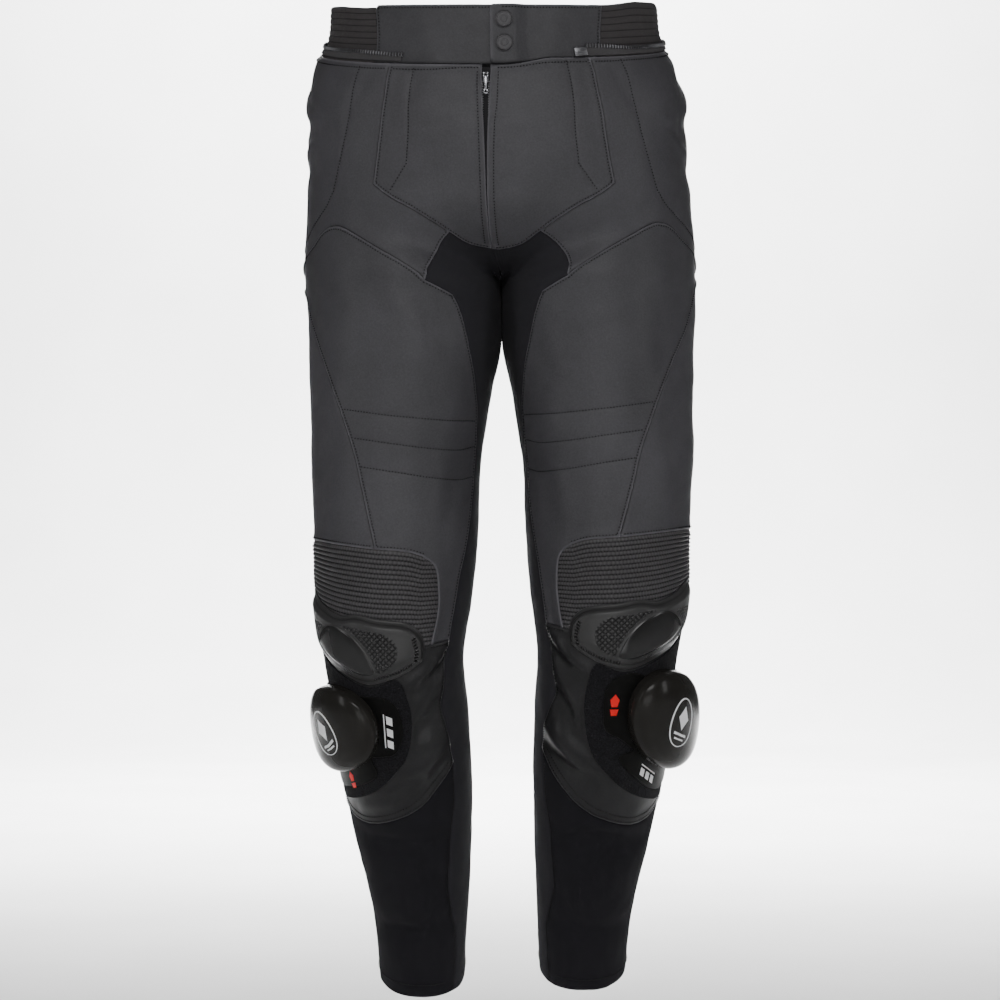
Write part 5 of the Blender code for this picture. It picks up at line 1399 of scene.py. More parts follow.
def dashes(flat, path, count, half_length, half_width):
    """1 inside short dashes set square across a path, 0 outside, soft between."""
    curve = np.array(smooth_curve(path, 1 * MM)) * (LEG_GIRTH, 1.0)
    lengths = np.concatenate([[0], np.cumsum(np.linalg.norm(np.diff(curve, axis=0), axis=1))])

    def spot(length):
        return np.array([np.interp(length, lengths, curve[:, i]) for i in (0, 1)])

    points = np.asarray(flat) * (LEG_GIRTH, 1.0)
    shown = np.zeros(len(points))
    for k in range(count):
        here = lengths[-1] * (k + 0.5) / count
        run = spot(here + 1 * MM) - spot(here - 1 * MM)
        run /= np.linalg.norm(run)
        offset = points - spot(here)
        off = np.hypot(offset @ (-run[1], run[0]) / half_length, offset @ run / half_width)
        shown = np.maximum(shown, 1 - smooth_step(off, 0.75, 1.15))
    return shown


def cup_relief(flat):
    """Height of the knee cup over the cloth, how glossy it is, and where it is sunk, for painted shade."""
    inside = within(flat, CUP_OUTLINE)
    height = CUP_EDGE + (CUP_CROWN - CUP_EDGE) * smooth_step(inside, 0, CUP_SLOPE)
    height -= 1.0 * MM * (1 - smooth_step(inside, 1.6 * MM, 3.2 * MM)) + rounded_edge(inside, 1.0 * MM)
    # a roll along its upper edge, a low outer end, and a line round its rim
    from_top, _ = distance_to_path(flat, smooth_curve(CUP_OUTLINE[:9], 3 * MM))
    outer_end = smooth_step(flat[:, 0], 0.415, 0.472)
    height += 2.2 * MM * hump(from_top - 6.5 * MM, 3.4 * MM) * (1 - outer_end)
    height -= 2.2 * MM * outer_end * smooth_step(inside, 0, 5 * MM)
    height -= 0.7 * MM * hump(inside - 3.4 * MM, 0.8 * MM)
    # diamond studs on two sunk fields, and the blade between them
    blade = within(flat, CUP_BLADE)
    on_blade = smooth_step(blade, -0.4 * MM, 1.6 * MM)
    x, y = (flat * (LEG_GIRTH, 1.0)).T
    u, v = ((x + way * 1.3 * y) / CUP_STUD_PITCH for way in (-1, 1))
    stud = 1 - smooth_step(np.maximum(np.abs(u - np.round(u)), np.abs(v - np.round(v))), 0.32, 0.46)
    field = np.maximum(*(smooth_step(within(flat, outline), -0.3 * MM, 0.9 * MM) for outline in CUP_FIELDS))
    field *= 1 - smooth_step(blade, -2.6 * MM, -1.4 * MM)
    height += field * (1.15 * stud - 1.0) * MM
    height += on_blade * (0.9 * MM + 0.2 * MM * smooth_step(blade, 1 * MM, 6 * MM))
    vents = dashes(flat, CUP_VENTS, CUP_VENT_COUNT, 2.2 * MM, 0.65 * MM)
    marks = dashes(flat, CUP_DASHES, CUP_DASH_COUNT, 1.3 * MM, 0.6 * MM)
    height -= 1.9 * MM * vents + 1.2 * MM * marks
    rim_line = hump(inside - 3.4 * MM, 0.6 * MM)
    # where the cup is painted in shade: its field grooves, vents, dashes and rim line
    sunk = np.clip(field * (1 - stud) * 0.8 + vents + marks + 0.7 * rim_line, 0, 1)
    return height, np.clip(on_blade, 0, 1), sunk


def make_cup(side_name):
    """The moulded cup over a knee."""
    outline = smooth_curve(CUP_OUTLINE, 1.6 * MM, closed=True)
    flat, faces = laid_out(outline, sizes().cup_step, (0.35 * MM, 0.8 * MM, 1.4 * MM, 2.2 * MM), gap=0)
    height, gloss, sunk = cup_relief(flat)
    piece = wall_piece(f"moulded_knee_cup_{side_name}", SIDES[side_name], flat, faces,
                       LAYER_GAP + height, LAYER_GAP, ("moulded_rubber",), {"gloss": gloss, "sunk": sunk})
    finish_piece(piece, "moulded_rubber", f"knee_cup_{side_name}")


def make_patches(side_name):
    """The loop patch under each slider and the slider's own sheet on it."""
    layers = (("loop_patch", PATCH_OUTLINE, LAYER_GAP, "loop_pile", "knee_lower", "sewn_loop_patch"),
              ("slider_base", SHEET_OUTLINES[side_name], 2 * LAYER_GAP + PATCH_WALL, "slider_sheet",
               "loop_patch", "slider_sheet"))
    for node, corners, lift, finish, below, name in layers:
        outline = smooth_curve(corners, 2 * MM, closed=True)
        flat, faces = laid_out(outline, 2.2 * MM, (0.4 * MM, 1.0 * MM, 1.8 * MM), gap=0)
        edge = -signed_distance(flat, outline)
        height = PATCH_WALL - rounded_edge(edge, 0.6 * MM)
        if finish == "loop_pile":
            fuzz = np.random.default_rng(7).uniform(-1, 1, len(flat))
            height += 0.22 * MM * fuzz * (edge > 0.2 * MM)
        else:
            height -= 0.25 * MM * hump(edge - 2.2 * MM, 0.7 * MM)
        # the lip mark lightens the sheet's edge in the leather finish: painted highlight with some wear;
        # the loop pile does not use it
        piece = wall_piece(f"{name}_{side_name}", SIDES[side_name], flat, faces, lift + height, lift,
                           (finish,), {"lip": np.clip(1 - edge / (1.2 * MM), 0, 1) * 0.6})
        finish_piece(piece, "loop_pile", f"{node}_{side_name}")
        declare_cloth(flat, faces, [f"{below}_{side_name}"])
    mark_sheet(side_name)


def puck_points(side_name, ring, spot, height=None):
    """Points on the slider: `ring` 0 at its middle to 1 at its rim, `spot` where its direction meets
    the unit circle, at a height above the sheet or on its dome."""
    puck = PUCKS[side_name]
    x, y = turned((spot * (puck.half_around, puck.half_down)).T * ring, puck.turn)
    lean = 1 - ring
    flat = np.stack([puck.around + (x + puck.slide[0] * lean) * MM / LEG_GIRTH,
                     puck.down + (y + puck.slide[1] * lean) * MM], axis=1)
    dome = puck.rim + (puck.crown - puck.rim) * np.clip(1 - ring**3.4, 0, 1) ** 0.62
    rise = dome * MM if height is None else height
    points, normals = smooth_cloth(SIDES[side_name], flat)
    return lifted(points, normals, 3 * LAYER_GAP + 2 * PATCH_WALL + rise)


def make_slider(side_name):
    """A knee slider: a domed puck with a rounded rim, and plain pale shapes on it."""
    count, puck = 128, PUCKS[side_name]
    turns = np.arange(count) * 2 * math.pi / count
    spots = np.stack([np.cos(turns), np.sin(turns)], axis=1)
    levels = [(0.985, 0.0), (1.0, 0.5), (1.0, puck.rim - 3.4), (0.998, puck.rim - 1.8),
              (0.990, puck.rim - 0.5)]
    rings = np.concatenate([np.linspace(0.980, 0.86, 13), np.linspace(0.84, 0.04, 26)])
    points = [puck_points(side_name, np.full(count, ring), spots, height * MM) for ring, height in levels]
    points += [puck_points(side_name, np.full(count, ring), spots) for ring in rings]
    points += [puck_points(side_name, np.zeros(1), spots[:1]),
               puck_points(side_name, np.ones(1) * 0.3, spots[:1] * 0, 0.0)]
    last = (len(levels) + len(rings) - 1) * count
    top, foot = last + count, last + count + 1
    faces = []
    for start in range(0, last, count):
        faces += ring_faces(count, start, start + count)
    for k in range(count):
        after = (k + 1) % count
        faces += [(last + k, last + after, top), (after, k, foot)]
    piece = make_piece(f"moulded_slider_{side_name}", np.concatenate(points), faces,
                       ("slider_plastic",), sharp=40)
    face_out(piece.data)
    finish_piece(piece, "slider_plastic", f"knee_slider_{side_name}")
    make_badge(side_name)


def on_puck(side_name, offsets, rise):
    """Points `rise` above the slider's dome, at offsets in shares of its half sizes."""
    def dome(offsets):
        ring = np.hypot(*offsets.T)
        return puck_points(side_name, ring, offsets / np.maximum(ring, 1e-6)[:, None])

    nudge = 0.01
    points = dome(offsets)
    out = np.cross(dome(offsets + (0, nudge)) - points, dome(offsets + (nudge, 0)) - points)
    out *= SIDES[side_name]
    return points + out / np.linalg.norm(out, axis=1, keepdims=True) * rise


def flat_shape(name, outline, holes, place, finish, slot, step):
    """A thin shape laid on a curved face, between an outline and its holes."""
    flat, loops = [], []
    for loop in (outline, *holes):
        loops.append(list(range(len(flat), len(flat) + len(loop))))
        flat += [Vector(corner) for corner in loop]
    low, high = np.min(outline, axis=0), np.max(outline, axis=0)
    net = [Vector((x, y)) for x in np.arange(low[0], high[0], step)
           for y in np.arange(low[1], high[1], step)]
    verts, _, faces, _, _, owners = delaunay_2d_cdt(flat + net, [], loops, 0, 1e-7)
    kept = np.array([face for face, owner in zip(faces, owners) if owner == [0]])
    used, faces = np.unique(kept, return_inverse=True)
    faces = faces.reshape(-1, 3)
    spots = np.array([tuple(verts[corner]) for corner in used])
    outer, inner = place(spots, 0.15 * MM), place(spots, -0.3 * MM)
    a, b, c = (outer[faces[:, k]] for k in range(3))
    if (np.cross(b - a, c - a) * (outer - inner)[faces[:, 0]]).sum() < 0:
        faces = faces[:, ::-1]
    finish_piece(closed_wall(name, outer, inner, faces, (finish,)), slot)


def turned(corners, degrees):
    """The X and Y of corners, turned round the middle; `corners` holds both in two rows."""
    c, s = math.cos(math.radians(degrees)), math.sin(math.radians(degrees))
    x, y = corners
    return x * c - y * s, x * s + y * c


Badge = namedtuple("Badge", "x y half_x half_y turn")
# Its middle in shares of the slider's half sizes, its own half sizes in mm, its turn in degrees.
BADGES = {"left": Badge(-0.28, -0.14, 14.5, 18.0, -6), "right": Badge(-0.03, -0.18, 17.0, 18.0, 20)}
BADGE_SHAPES = {                  # in shares of the badge's half sizes
    "diamond": ((0, -0.72), (0.46, -0.28), (0, 0.16), (-0.46, -0.28)),
    "bar_1": ((-0.55, 0.30), (0.55, 0.30), (0.55, 0.42), (-0.55, 0.42)),
    "bar_2": ((-0.40, 0.54), (0.40, 0.54), (0.40, 0.63), (-0.40, 0.63)),
}


def make_badge(side_name):
    """A plain oval ring round a plain diamond and two bars, printed on the slider."""
    badge, puck = BADGES[side_name], PUCKS[side_name]

    def placed(corners):
        x, y = turned((np.array(corners) * (badge.half_x, badge.half_y)).T, badge.turn)
        return np.stack([badge.x + x / puck.half_around, badge.y + y / puck.half_down], axis=1)

    def oval(half_x, half_y, count=48):
        turns = np.arange(count) * 2 * math.pi / count
        return placed(np.stack([half_x * np.cos(turns), half_y * np.sin(turns)], axis=1))

    shapes = {"ring": (oval(1, 1), [oval(0.90, 0.95)])}
    shapes.update({name: (placed(corners), []) for name, corners in BADGE_SHAPES.items()})
    for name, (outline, holes) in shapes.items():
        flat_shape(f"slider_{name}_{side_name}", outline, holes,
                   lambda offsets, rise: on_puck(side_name, offsets, rise), "pale_mark",
                   "slider_plastic", 0.03)


SheetMark = namedtuple("SheetMark", "kind around down turn")
SHEET_MARKS = {                   # plain shapes on the sheets: what, where, and their turn in degrees
    "left": (SheetMark("red", 0.2718, 0.6717, 0), SheetMark("pale", 0.3680, 0.7372, 31)),
    "right": (SheetMark("pale", 0.2580, 0.6823, 86), SheetMark("red", 0.3711, 0.7414, 24)),
}
MARK_SHAPES = {                   # their corners in mm
    "pale": (((-15, -5.2), (15, -5.2), (15, -3.9), (-15, -3.9)),
             ((-14, -2), (-7, -2), (-5.5, 4.5), (-12.5, 4.5)),
             ((-3.5, -2), (3.5, -2), (5, 4.5), (-2, 4.5)),
             ((7, -2), (14, -2), (15.5, 4.5), (8.5, 4.5))),
    "red": (((0, -9), (5, -4.5), (3.2, 1), (-3.2, 1), (-5, -4.5)),
            ((-4.6, 3), (4.6, 3), (3, 8), (-3, 8))),
}


def mark_sheet(side_name):
    """Plain printed shapes on the slider's sheet."""
    for mark in SHEET_MARKS[side_name]:
        def place(offsets, rise):
            flat = offsets * MM / (LEG_GIRTH, 1) + (mark.around, mark.down)
            points, normals = smooth_cloth(SIDES[side_name], flat)
            return lifted(points, normals, 2 * (LAYER_GAP + PATCH_WALL) + rise)

        for part, corners in enumerate(MARK_SHAPES[mark.kind]):
            outline = np.stack(turned(np.array(corners).T, mark.turn), axis=1)
            flat_shape(f"sheet_{mark.kind}_{part + 1}_{side_name}", outline, [], place,
                       f"{mark.kind}_mark", "loop_pile", 1.5)


# ------------------------------------------------------------------ the waist
def tab_lift(flat):
    """How far the free tab rides over the other front of the band."""
    return (BAND_WALL + LAYER_GAP) * (1 - smooth_step(flat[:, 0], TAB_FLAT, TAB_FOOT))


def round_cornered(corners, radii):
    """A closed outline with each corner rounded off by its own radius."""
    corners = [Vector((around * LEG_GIRTH, down)) for around, down in corners]
    outline = []
    for k, here in enumerate(corners):
        following = (k + 1) % len(corners)
        before, after = corners[k - 1], corners[following]
        start = here + (before - here).normalized() * radii[k]
        end = here + (after - here).normalized() * radii[k]
        outline += [start * (1 - t)**2 + here * 2 * t * (1 - t) + end * t * t
                    for t in ((0, 0.25, 0.5, 0.75, 1) if radii[k] else (0,))]
        length = (after - here).length - radii[k] - radii[following]
        pieces = max(1, round(length / (3.5 * MM)))
        outline += [end + (after - here).normalized() * (length / pieces) * j for j in range(1, pieces)]
    return [(point.x / LEG_GIRTH, point.y) for point in outline]


Band = namedtuple("Band", "start end_top end_foot radii side finish")
# from where to where it runs round, its corners' radii in mm, the half it is measured on
BANDS = {
    "waistband_front_left": Band(TAB_END, *BAND_FRONT_ENDS["left"], (3, 2, 0, 2), 1, "leather_band"),
    "waistband_front_right": Band(UNDERLAP_END, *BAND_FRONT_ENDS["right"], (1, 6, 0, 1), -1,
                                  "leather_band"),
    "waistband_back": Band(BAND_BACK_START, 2 - BAND_BACK_START, 2 - BAND_BACK_START, (2, 2, 0, 0), 1,
                           "leather_back"),
}


def band_outline(node):
    band = BANDS[node]
    corners = ((band.start, 0.0), (band.end_top, 0.0), (band.end_foot, BAND_DEPTH),
               (band.start, BAND_DEPTH))
    return round_cornered(corners, [radius * MM for radius in band.radii])


def band_height(flat, node):
    """How far the band's outer face stands off the cloth, with folded edges and a little padding,
    the distance of each place from its edge, and the lift of its tab."""
    edge = -signed_distance(flat, band_outline(node))
    lift = tab_lift(flat) if node == "waistband_front_left" else 0
    height = BAND_PROUD - rounded_edge(edge, 1.4 * MM) + lift
    height += 0.5 * MM * smooth_step(edge, 3.5 * MM, 14 * MM) + 0.35 * MM * ripple(flat, 0.03, 31)
    height -= sizes().groove_depth * hump(edge - 3 * MM, 0.9 * MM)
    return height, edge, lift


def sew_band(node):
    """A part of the folded leather waistband."""
    band = BANDS[node]
    flat, faces = laid_out(band_outline(node), 3.4 * MM, (0.4 * MM, 0.9 * MM, 1.6 * MM, 3.0 * MM, 4.4 * MM))
    height, edge, lift = band_height(flat, node)
    inner = BAND_PROUD - BAND_WALL + lift + rounded_edge(edge, 1.2 * MM)
    above_foot = BAND_DEPTH - flat[:, 1]
    # lip: painted highlight with some wear along the band's top and ends; tucked: painted shade along its
    # foot
    marks = {"lip": np.clip(1.1 - edge / (1.6 * MM), 0, 1) * (above_foot > 3 * MM),
             "tucked": np.clip(1.2 - above_foot / (2.5 * MM), 0, 1)}
    piece = wall_piece(f"sewn_{node}", band.side, flat, faces, height, inner, (band.finish,), marks)
    finish_piece(piece, SLOTS[band.finish], node)
    declare_cloth(flat, faces, ["front_yoke_left", "front_yoke_right", "waist_elastic_left",
                                       "waist_elastic_right"])


def sew_elastic(side_name):
    """Ribbed elastic at the side of the waistband."""
    side = SIDES[side_name]
    foot = ZIP_ROWS[0] - 1 * MM
    rows = np.concatenate([[0, 0.25 * MM], np.arange(0.6 * MM, foot, 0.45 * MM),
                           np.linspace(foot, BAND_DEPTH, 6)])
    columns = np.linspace(0, 1, 84)
    start, end = np.array(BAND_FRONT_ENDS[side_name]), np.array([BAND_BACK_START] * 2)
    flat = []
    for t in columns:
        at_top, at_foot = start + (end - start) * t
        rise = (4.0 * MM * smooth_step(t, 0, 0.28) * (1 - smooth_step(t, 0.50, 0.75)) if side > 0
                else -2.0 * MM * (1 - smooth_step(t, 0.05, 0.40)))
        flat += [(at_top + (at_foot - at_top) * row / BAND_DEPTH, row - rise * max(0, 1 - row / foot))
                 for row in rows]
    flat, faces = np.array(flat), grid_faces(len(columns), len(rows))
    level = np.tile(rows, len(columns))
    fade = smooth_step(level, 0, 0.6 * MM) * (1 - smooth_step(level, foot - 0.5 * MM, foot))
    yarn = np.sin(flat[:, 0] * LEG_GIRTH / (1.1 * MM) * math.pi)
    marks = {"phase": level / foot * sizes().elastic_ribs,
             "fade": fade * (1 + 0.12 * yarn + 0.08 * ripple(flat, 0.02, 9))}
    gather = 0.2 * MM * ripple(flat * (1, 0.4), 0.022, 33)
    piece = wall_piece(f"woven_waist_elastic_{side_name}", side, flat, faces, gather, -1.6 * MM,
                       ("ribbed_elastic",), marks)
    raise_ribs(piece, side, flat, sizes().elastic_rib_height, 0.6, "ribbed_elastic")
    finish_piece(piece, "ribbed_elastic", f"waist_elastic_{side_name}")
    declare_cloth(flat, faces, ["waistband_back", f"hip_panel_{side_name}"])


def sew_tape(name, node, side, columns, top, foot, outer, inner, finish, slot, sewn_to):
    """A flat tape over part of the cloth, between `top` and `foot` at each of its columns."""
    shares = np.linspace(0, 1, 8)
    flat = np.array([(around, high + (foot - high) * share)
                     for around, high in zip(columns, np.broadcast_to(top, len(columns)))
                     for share in shares])
    faces = grid_faces(len(columns), len(shares))
    piece = wall_piece(name, side, flat, faces, outer, inner, (finish,))
    finish_piece(piece, slot, node)
    declare_cloth(flat, faces, sewn_to)


def whole_run(path, side, lift):
    """One run of points and normals all along a path."""
    return split_runs(path, np.ones(len(path), bool), side, lift)


def make_zips():
    """The fly zip's tape and teeth behind its slit, and the connection zip round the waist."""
    lift = BAND_PROUD + ZIP_CLEARANCE
    columns = np.arange(ZIP_ENDS[0], ZIP_ENDS[1], 4 * MM / LEG_GIRTH)
    from_end = np.minimum(columns - ZIP_ENDS[0], ZIP_ENDS[1] - columns) * LEG_GIRTH
    droop = np.where(columns < 1, -2.6 * MM, 1.6 * MM)
    top = (ZIP_ROWS[0] + 1.2 * MM + droop * (1 - smooth_step(from_end, 0, 70 * MM))
           + 3.0 * MM * smooth_step(columns, 1.05, 1.35))
    sew_tape("woven_waist_zip_tape", "waist_zip", 1, columns, top, ZIP_ROWS[1], lift + 0.6 * MM,
             lift - 0.3 * MM, "waist_zip_tape", "ribbed_elastic", ["waist_elastic_left", "waistband_back"])
    tooth = tooth_shape()
    runs = whole_run(np.stack([columns, top + 1.2 * MM], axis=1), 1, lift + 1.3 * MM)
    repeated("waist_zip_teeth", runs, tooth, sizes().tooth_pitch, (1.5 * MM, 3.8 * MM, 1.8 * MM),
             "tooth_metal", "dark_metal", 0.05)

    behind = 2 * MM + FLY_ZIP_DEPTH
    sew_tape("woven_fly_tape", "fly_zip", -1, np.linspace(-FLY_ZIP_HALF, FLY_ZIP_HALF, 9), *FLY_ZIP_ROWS,
             -behind, -behind - 1.2 * MM, "zip_tape", "stretch_cloth",
             ["front_yoke_left", "front_yoke_right"])
    down = np.arange(FLY_ZIP_ROWS[0] + 14 * MM, FLY_ZIP_ROWS[1] - 2 * MM, 2 * MM)
    off = np.interp(down, FLY_ZIP_ROWS, FLY_TEETH_OFF)
    runs = [run for way in (-1, 1)
            for run in whole_run(np.stack([way * off, down], axis=1), -1, -behind + 0.8 * MM)]
    repeated("fly_zip_teeth", runs, tooth, 2.4 * MM, (1.2 * MM, 2.0 * MM, 1.2 * MM), "dark_metal",
             "dark_metal", 0.03)
    bpy.data.objects.remove(tooth, do_unlink=True)


# ------------------------------------------------------------------ metal parts, in mm on their seats
def seat_on_cloth(side, around, down, lift):
    """A frame on the cloth: X along the waist, Y up the cloth, Z out of it, `lift` above it."""
    points, normals = smooth_cloth(side, [(around, down), (around, down + 2 * MM)])
    out = Vector(normals[0])
    up = (Vector(points[0]) - Vector(points[1])).normalized()
    across = up.cross(out).normalized()
    seat = Matrix((across, out.cross(across), out)).transposed().to_4x4()
    seat.translation = Vector(points[0]) + out * lift
    return seat @ Matrix.Scale(MM, 4)


def add_turned(sheet, profile, seat, steps=48):
    """A round solid turned from a profile of (radius, height) that starts and ends on the axis."""
    turns = [2 * math.pi * k / steps for k in range(steps)]
    rings = [[sheet.verts.new(seat @ Vector((radius * math.cos(turn), radius * math.sin(turn), height)))
              for turn in (turns if radius else turns[:1])] for radius, height in profile]
    for lower, upper in zip(rings, rings[1:]):
        for k in range(steps):
            after = (k + 1) % steps
            corners = [lower[k % len(lower)], lower[after % len(lower)], upper[after % len(upper)],
                       upper[k % len(upper)]]
            unique = list(dict.fromkeys(corners))
            if len(unique) > 2:
                sheet.faces.new(unique)


def add_pin(sheet, seat, radius, half_length, steps):
    """A short round pin along X."""
    profile = ((0, -half_length), (radius, -half_length), (radius, half_length), (0, half_length))
    add_turned(sheet, profile, seat @ Matrix.Rotation(math.pi / 2, 4, "Y"), steps)


def add_block(sheet, low, high, bevel, seat):
    """A block between two corners with rounded edges."""
    low, high = Vector(low), Vector(high)
    made = bmesh.ops.create_cube(sheet, size=1)["verts"]
    bmesh.ops.scale(sheet, vec=high - low, verts=made)
    bmesh.ops.translate(sheet, vec=(low + high) / 2, verts=made)
    edges = list({edge for vert in made for edge in vert.link_edges})
    result = bmesh.ops.bevel(sheet, geom=edges, offset=bevel, segments=3, affect="EDGES", profile=0.5)
    made = list({vert for face in result["faces"] for vert in face.verts})
    bmesh.ops.transform(sheet, matrix=seat, verts=made)


def metal_piece(name, sheet, finish, node, body=BODY):
    bmesh.ops.recalc_face_normals(sheet, faces=sheet.faces)
    mesh = bpy.data.meshes.new(name)
    sheet.to_mesh(mesh)
    sheet.free()
    mesh.materials.append(finish_named(finish))
    mesh.shade_smooth()
    mesh.set_sharp_from_angle(angle=math.radians(35))
    finish_piece(linked(name, mesh), "dark_metal", node, body=body)


def make_snaps():
    """Two press snaps, each a flat cap with a low plain ring on it, in a groove with a flange."""
    profile = ((0, 1.7), (2.4, 1.7), (2.7, 2.0), (3.4, 2.0), (3.7, 1.7), (6.2, 1.7), (6.6, 2.0),
               (7.3, 2.0), (7.6, 1.7), (7.7, -0.5), (8.4, -0.5), (8.5, 0.8), (8.9, 0.7), (9.0, 0),
               (0, 0))
    for name, down in SNAP_DOWNS.items():
        sheet = bmesh.new()
        lift = BAND_PROUD + BAND_WALL + 2 * LAYER_GAP
        add_turned(sheet, profile, seat_on_cloth(1, SNAP_AROUND, down, lift))
        metal_piece(f"press_{name}", sheet, "coated_metal", name)


def make_zip_box():
    """The metal box at the connection zip's open end, with a ridge on it."""
    seat = seat_on_cloth(1, ZIP_BOX_AROUND, sum(ZIP_ROWS) / 2, BAND_PROUD + ZIP_CLEARANCE)
    sheet = bmesh.new()
    add_block(sheet, (-6.5, -4.5, 0), (6.5, 4.5, 3.2), 0.8, seat)
    add_block(sheet, (-5.2, -1.2, 2.8), (5.2, 1.2, 3.8), 0.4, seat)
    metal_piece("pressed_zip_box", sheet, "tooth_metal", "waist_zip_box")


def make_fly_metal():
    """The fly zip's slider upright in the slit, and the pull tab hinged on its bridge."""
    on_front = seat_on_cloth(-1, 0.0, FLY_SLIDER_DOWN, 0.0)
    out = Vector((0, on_front.col[2].y, on_front.col[2].z)).normalized()
    across = Vector((1, 0, 0))
    seat = Matrix((across, out.cross(across), out)).transposed().to_4x4() @ Matrix.Scale(MM, 4)
    seat.translation = on_front.translation
    hinge_up, hinge_out = FLY_HINGE
    hinge = seat @ Matrix.Translation((0, hinge_up, hinge_out))
    sheet = bmesh.new()
    add_block(sheet, (-2.9, -5.5, -2.4), (2.9, 6, 1.2), 0.7, seat)
    add_block(sheet, (-0.9, hinge_up - 1.2, 0.6), (0.9, hinge_up + 1.0, hinge_out), 0.3, seat)
    add_pin(sheet, hinge, 1.1, 1.0, 20)
    metal_piece("cast_fly_slider", sheet, "dark_metal", "fly_slider")

    rest = hinge @ Matrix.Rotation(math.radians(5), 4, "X")
    sheet = bmesh.new()
    add_block(sheet, (-1.2, -16, -0.6), (1.2, -2.4, 0.6), 0.5, rest)
    for left, foot, right, head in ((-1.9, -20, -1.0, -15.2), (1.0, -20, 1.9, -15.2),
                                    (-1.9, -20, 1.9, -19), (-1.9, -16.2, 1.9, -15.2)):
        add_block(sheet, (left, foot, -0.55), (right, head, 0.55), 0.25, rest)
    for way in (-1, 1):
        left, right = sorted((way * 1.3, way * 2.4))
        add_block(sheet, (left, -4, -0.5), (right, -0.4, 0.5), 0.2, rest)
        add_pin(sheet, rest @ Matrix.Translation(((left + right) / 2, 0, 0)), 1.8, 0.55, 24)
    metal_piece("cast_fly_pull", sheet, "bright_metal", "fly_pull", body="fly_pull")


# ------------------------------------------------------------------ stitching
def panel_rows(side_name):
    """Runs of stitches over the panels of one half."""
    side, runs = SIDES[side_name], []
    for name, rows in SEAM_ROWS:
        shape = panel_shape(name)
        for offset, seam in ((offset, seam) for offset, seams in rows.items() for seam in seams.split()):
            path = seam_places(seam + ("+1" if seam + "+1" in shape.panel.seams else ""), 3 * MM)
            flat = row_along(path, offset * MM, shape.outline)
            height, edge, _, _ = shape.relief(flat)
            fits = inside_outline(flat, shape.outline) & (edge > (offset - 0.5) * MM)
            runs += split_runs(flat, fits, side, height + THREAD_LIFT)
    for row in FREE_ROWS:
        flat = np.array(smooth_curve(row, 3 * MM))
        for name in LEATHER_PANELS:
            shape = panel_shape(name)
            fits = inside_outline(flat, shape.outline)
            if fits.any():
                height, edge, _, _ = shape.relief(flat)
                runs += split_runs(flat, fits & (edge > 3 * MM), side, height + THREAD_LIFT)
    return runs


def band_rows():
    """Runs of stitches on the waistband: along its top and ends, none at its foot."""
    runs = []
    for node, band in BANDS.items():
        outline = np.array(anticlockwise(band_outline(node)))
        flat = reached(outline, square_to(outline) * 3 * MM)
        flat = np.concatenate([flat, flat[:1]])
        height, edge, _ = band_height(flat, node)
        fits = (edge > 2.6 * MM) & (flat[:, 1] < BAND_DEPTH - 5 * MM)
        runs += split_runs(flat, fits, band.side, height + THREAD_LIFT)
    return runs


def sew_rows():
    """Every row of stitches, in thread."""
    stitch, pitch = stitch_shape(), sizes().stitch_pitch
    size = (sizes().stitch_length, sizes().thread_width, sizes().thread_width)
    for side_name in SIDES:
        repeated(f"stitches_{side_name}", panel_rows(side_name), stitch, pitch, size, "thread",
                 "leather_side")
        repeated(f"rib_stitches_{side_name}", rib_valleys(side_name), stitch, 3.0 * MM,
                 (1.6 * MM, 1.7 * MM, 1.3 * MM), "thread", "leather_ribs", 0.15, 5)
    repeated("stitches_waistband", band_rows(), stitch, pitch, size, "thread", "leather_front")
    bpy.data.objects.remove(stitch, do_unlink=True)


# ------------------------------------------------------------------ studio
WORLD_LIGHT = 0.10
# name, place, aimed at, size in metres, power in watts, spread in degrees
LIGHTS = (
    ("Front softbox", (0.0, -3.5, 1.9), (0, 0, -0.45), (2.0, 1.0), 52, 180),
    ("Low fill", (0.0, -3.8, -0.5), (0, 0, -0.5), (2.4, 1.2), 20, 180),
    ("Left softbox", (-2.6, -1.7, 0.6), (0, 0, -0.5), (0.6, 1.8), 14, 180),
    ("Right softbox", (2.6, -1.7, 0.6), (0, 0, -0.5), (0.6, 1.8), 14, 180),
    ("Back softbox", (0.0, 3.4, 2.4), (0, 0, -0.5), (1.8, 1.0), 5, 100),
    ("Wall wash", (0.0, 2.6, 2.6), (0, 4.5, 0.0), (2.4, 0.8), 380, 120),
    ("Floor wash", (0.0, 2.2, 1.5), (0, 2.2, -1.0), (2.6, 2.0), 130, 80),
)


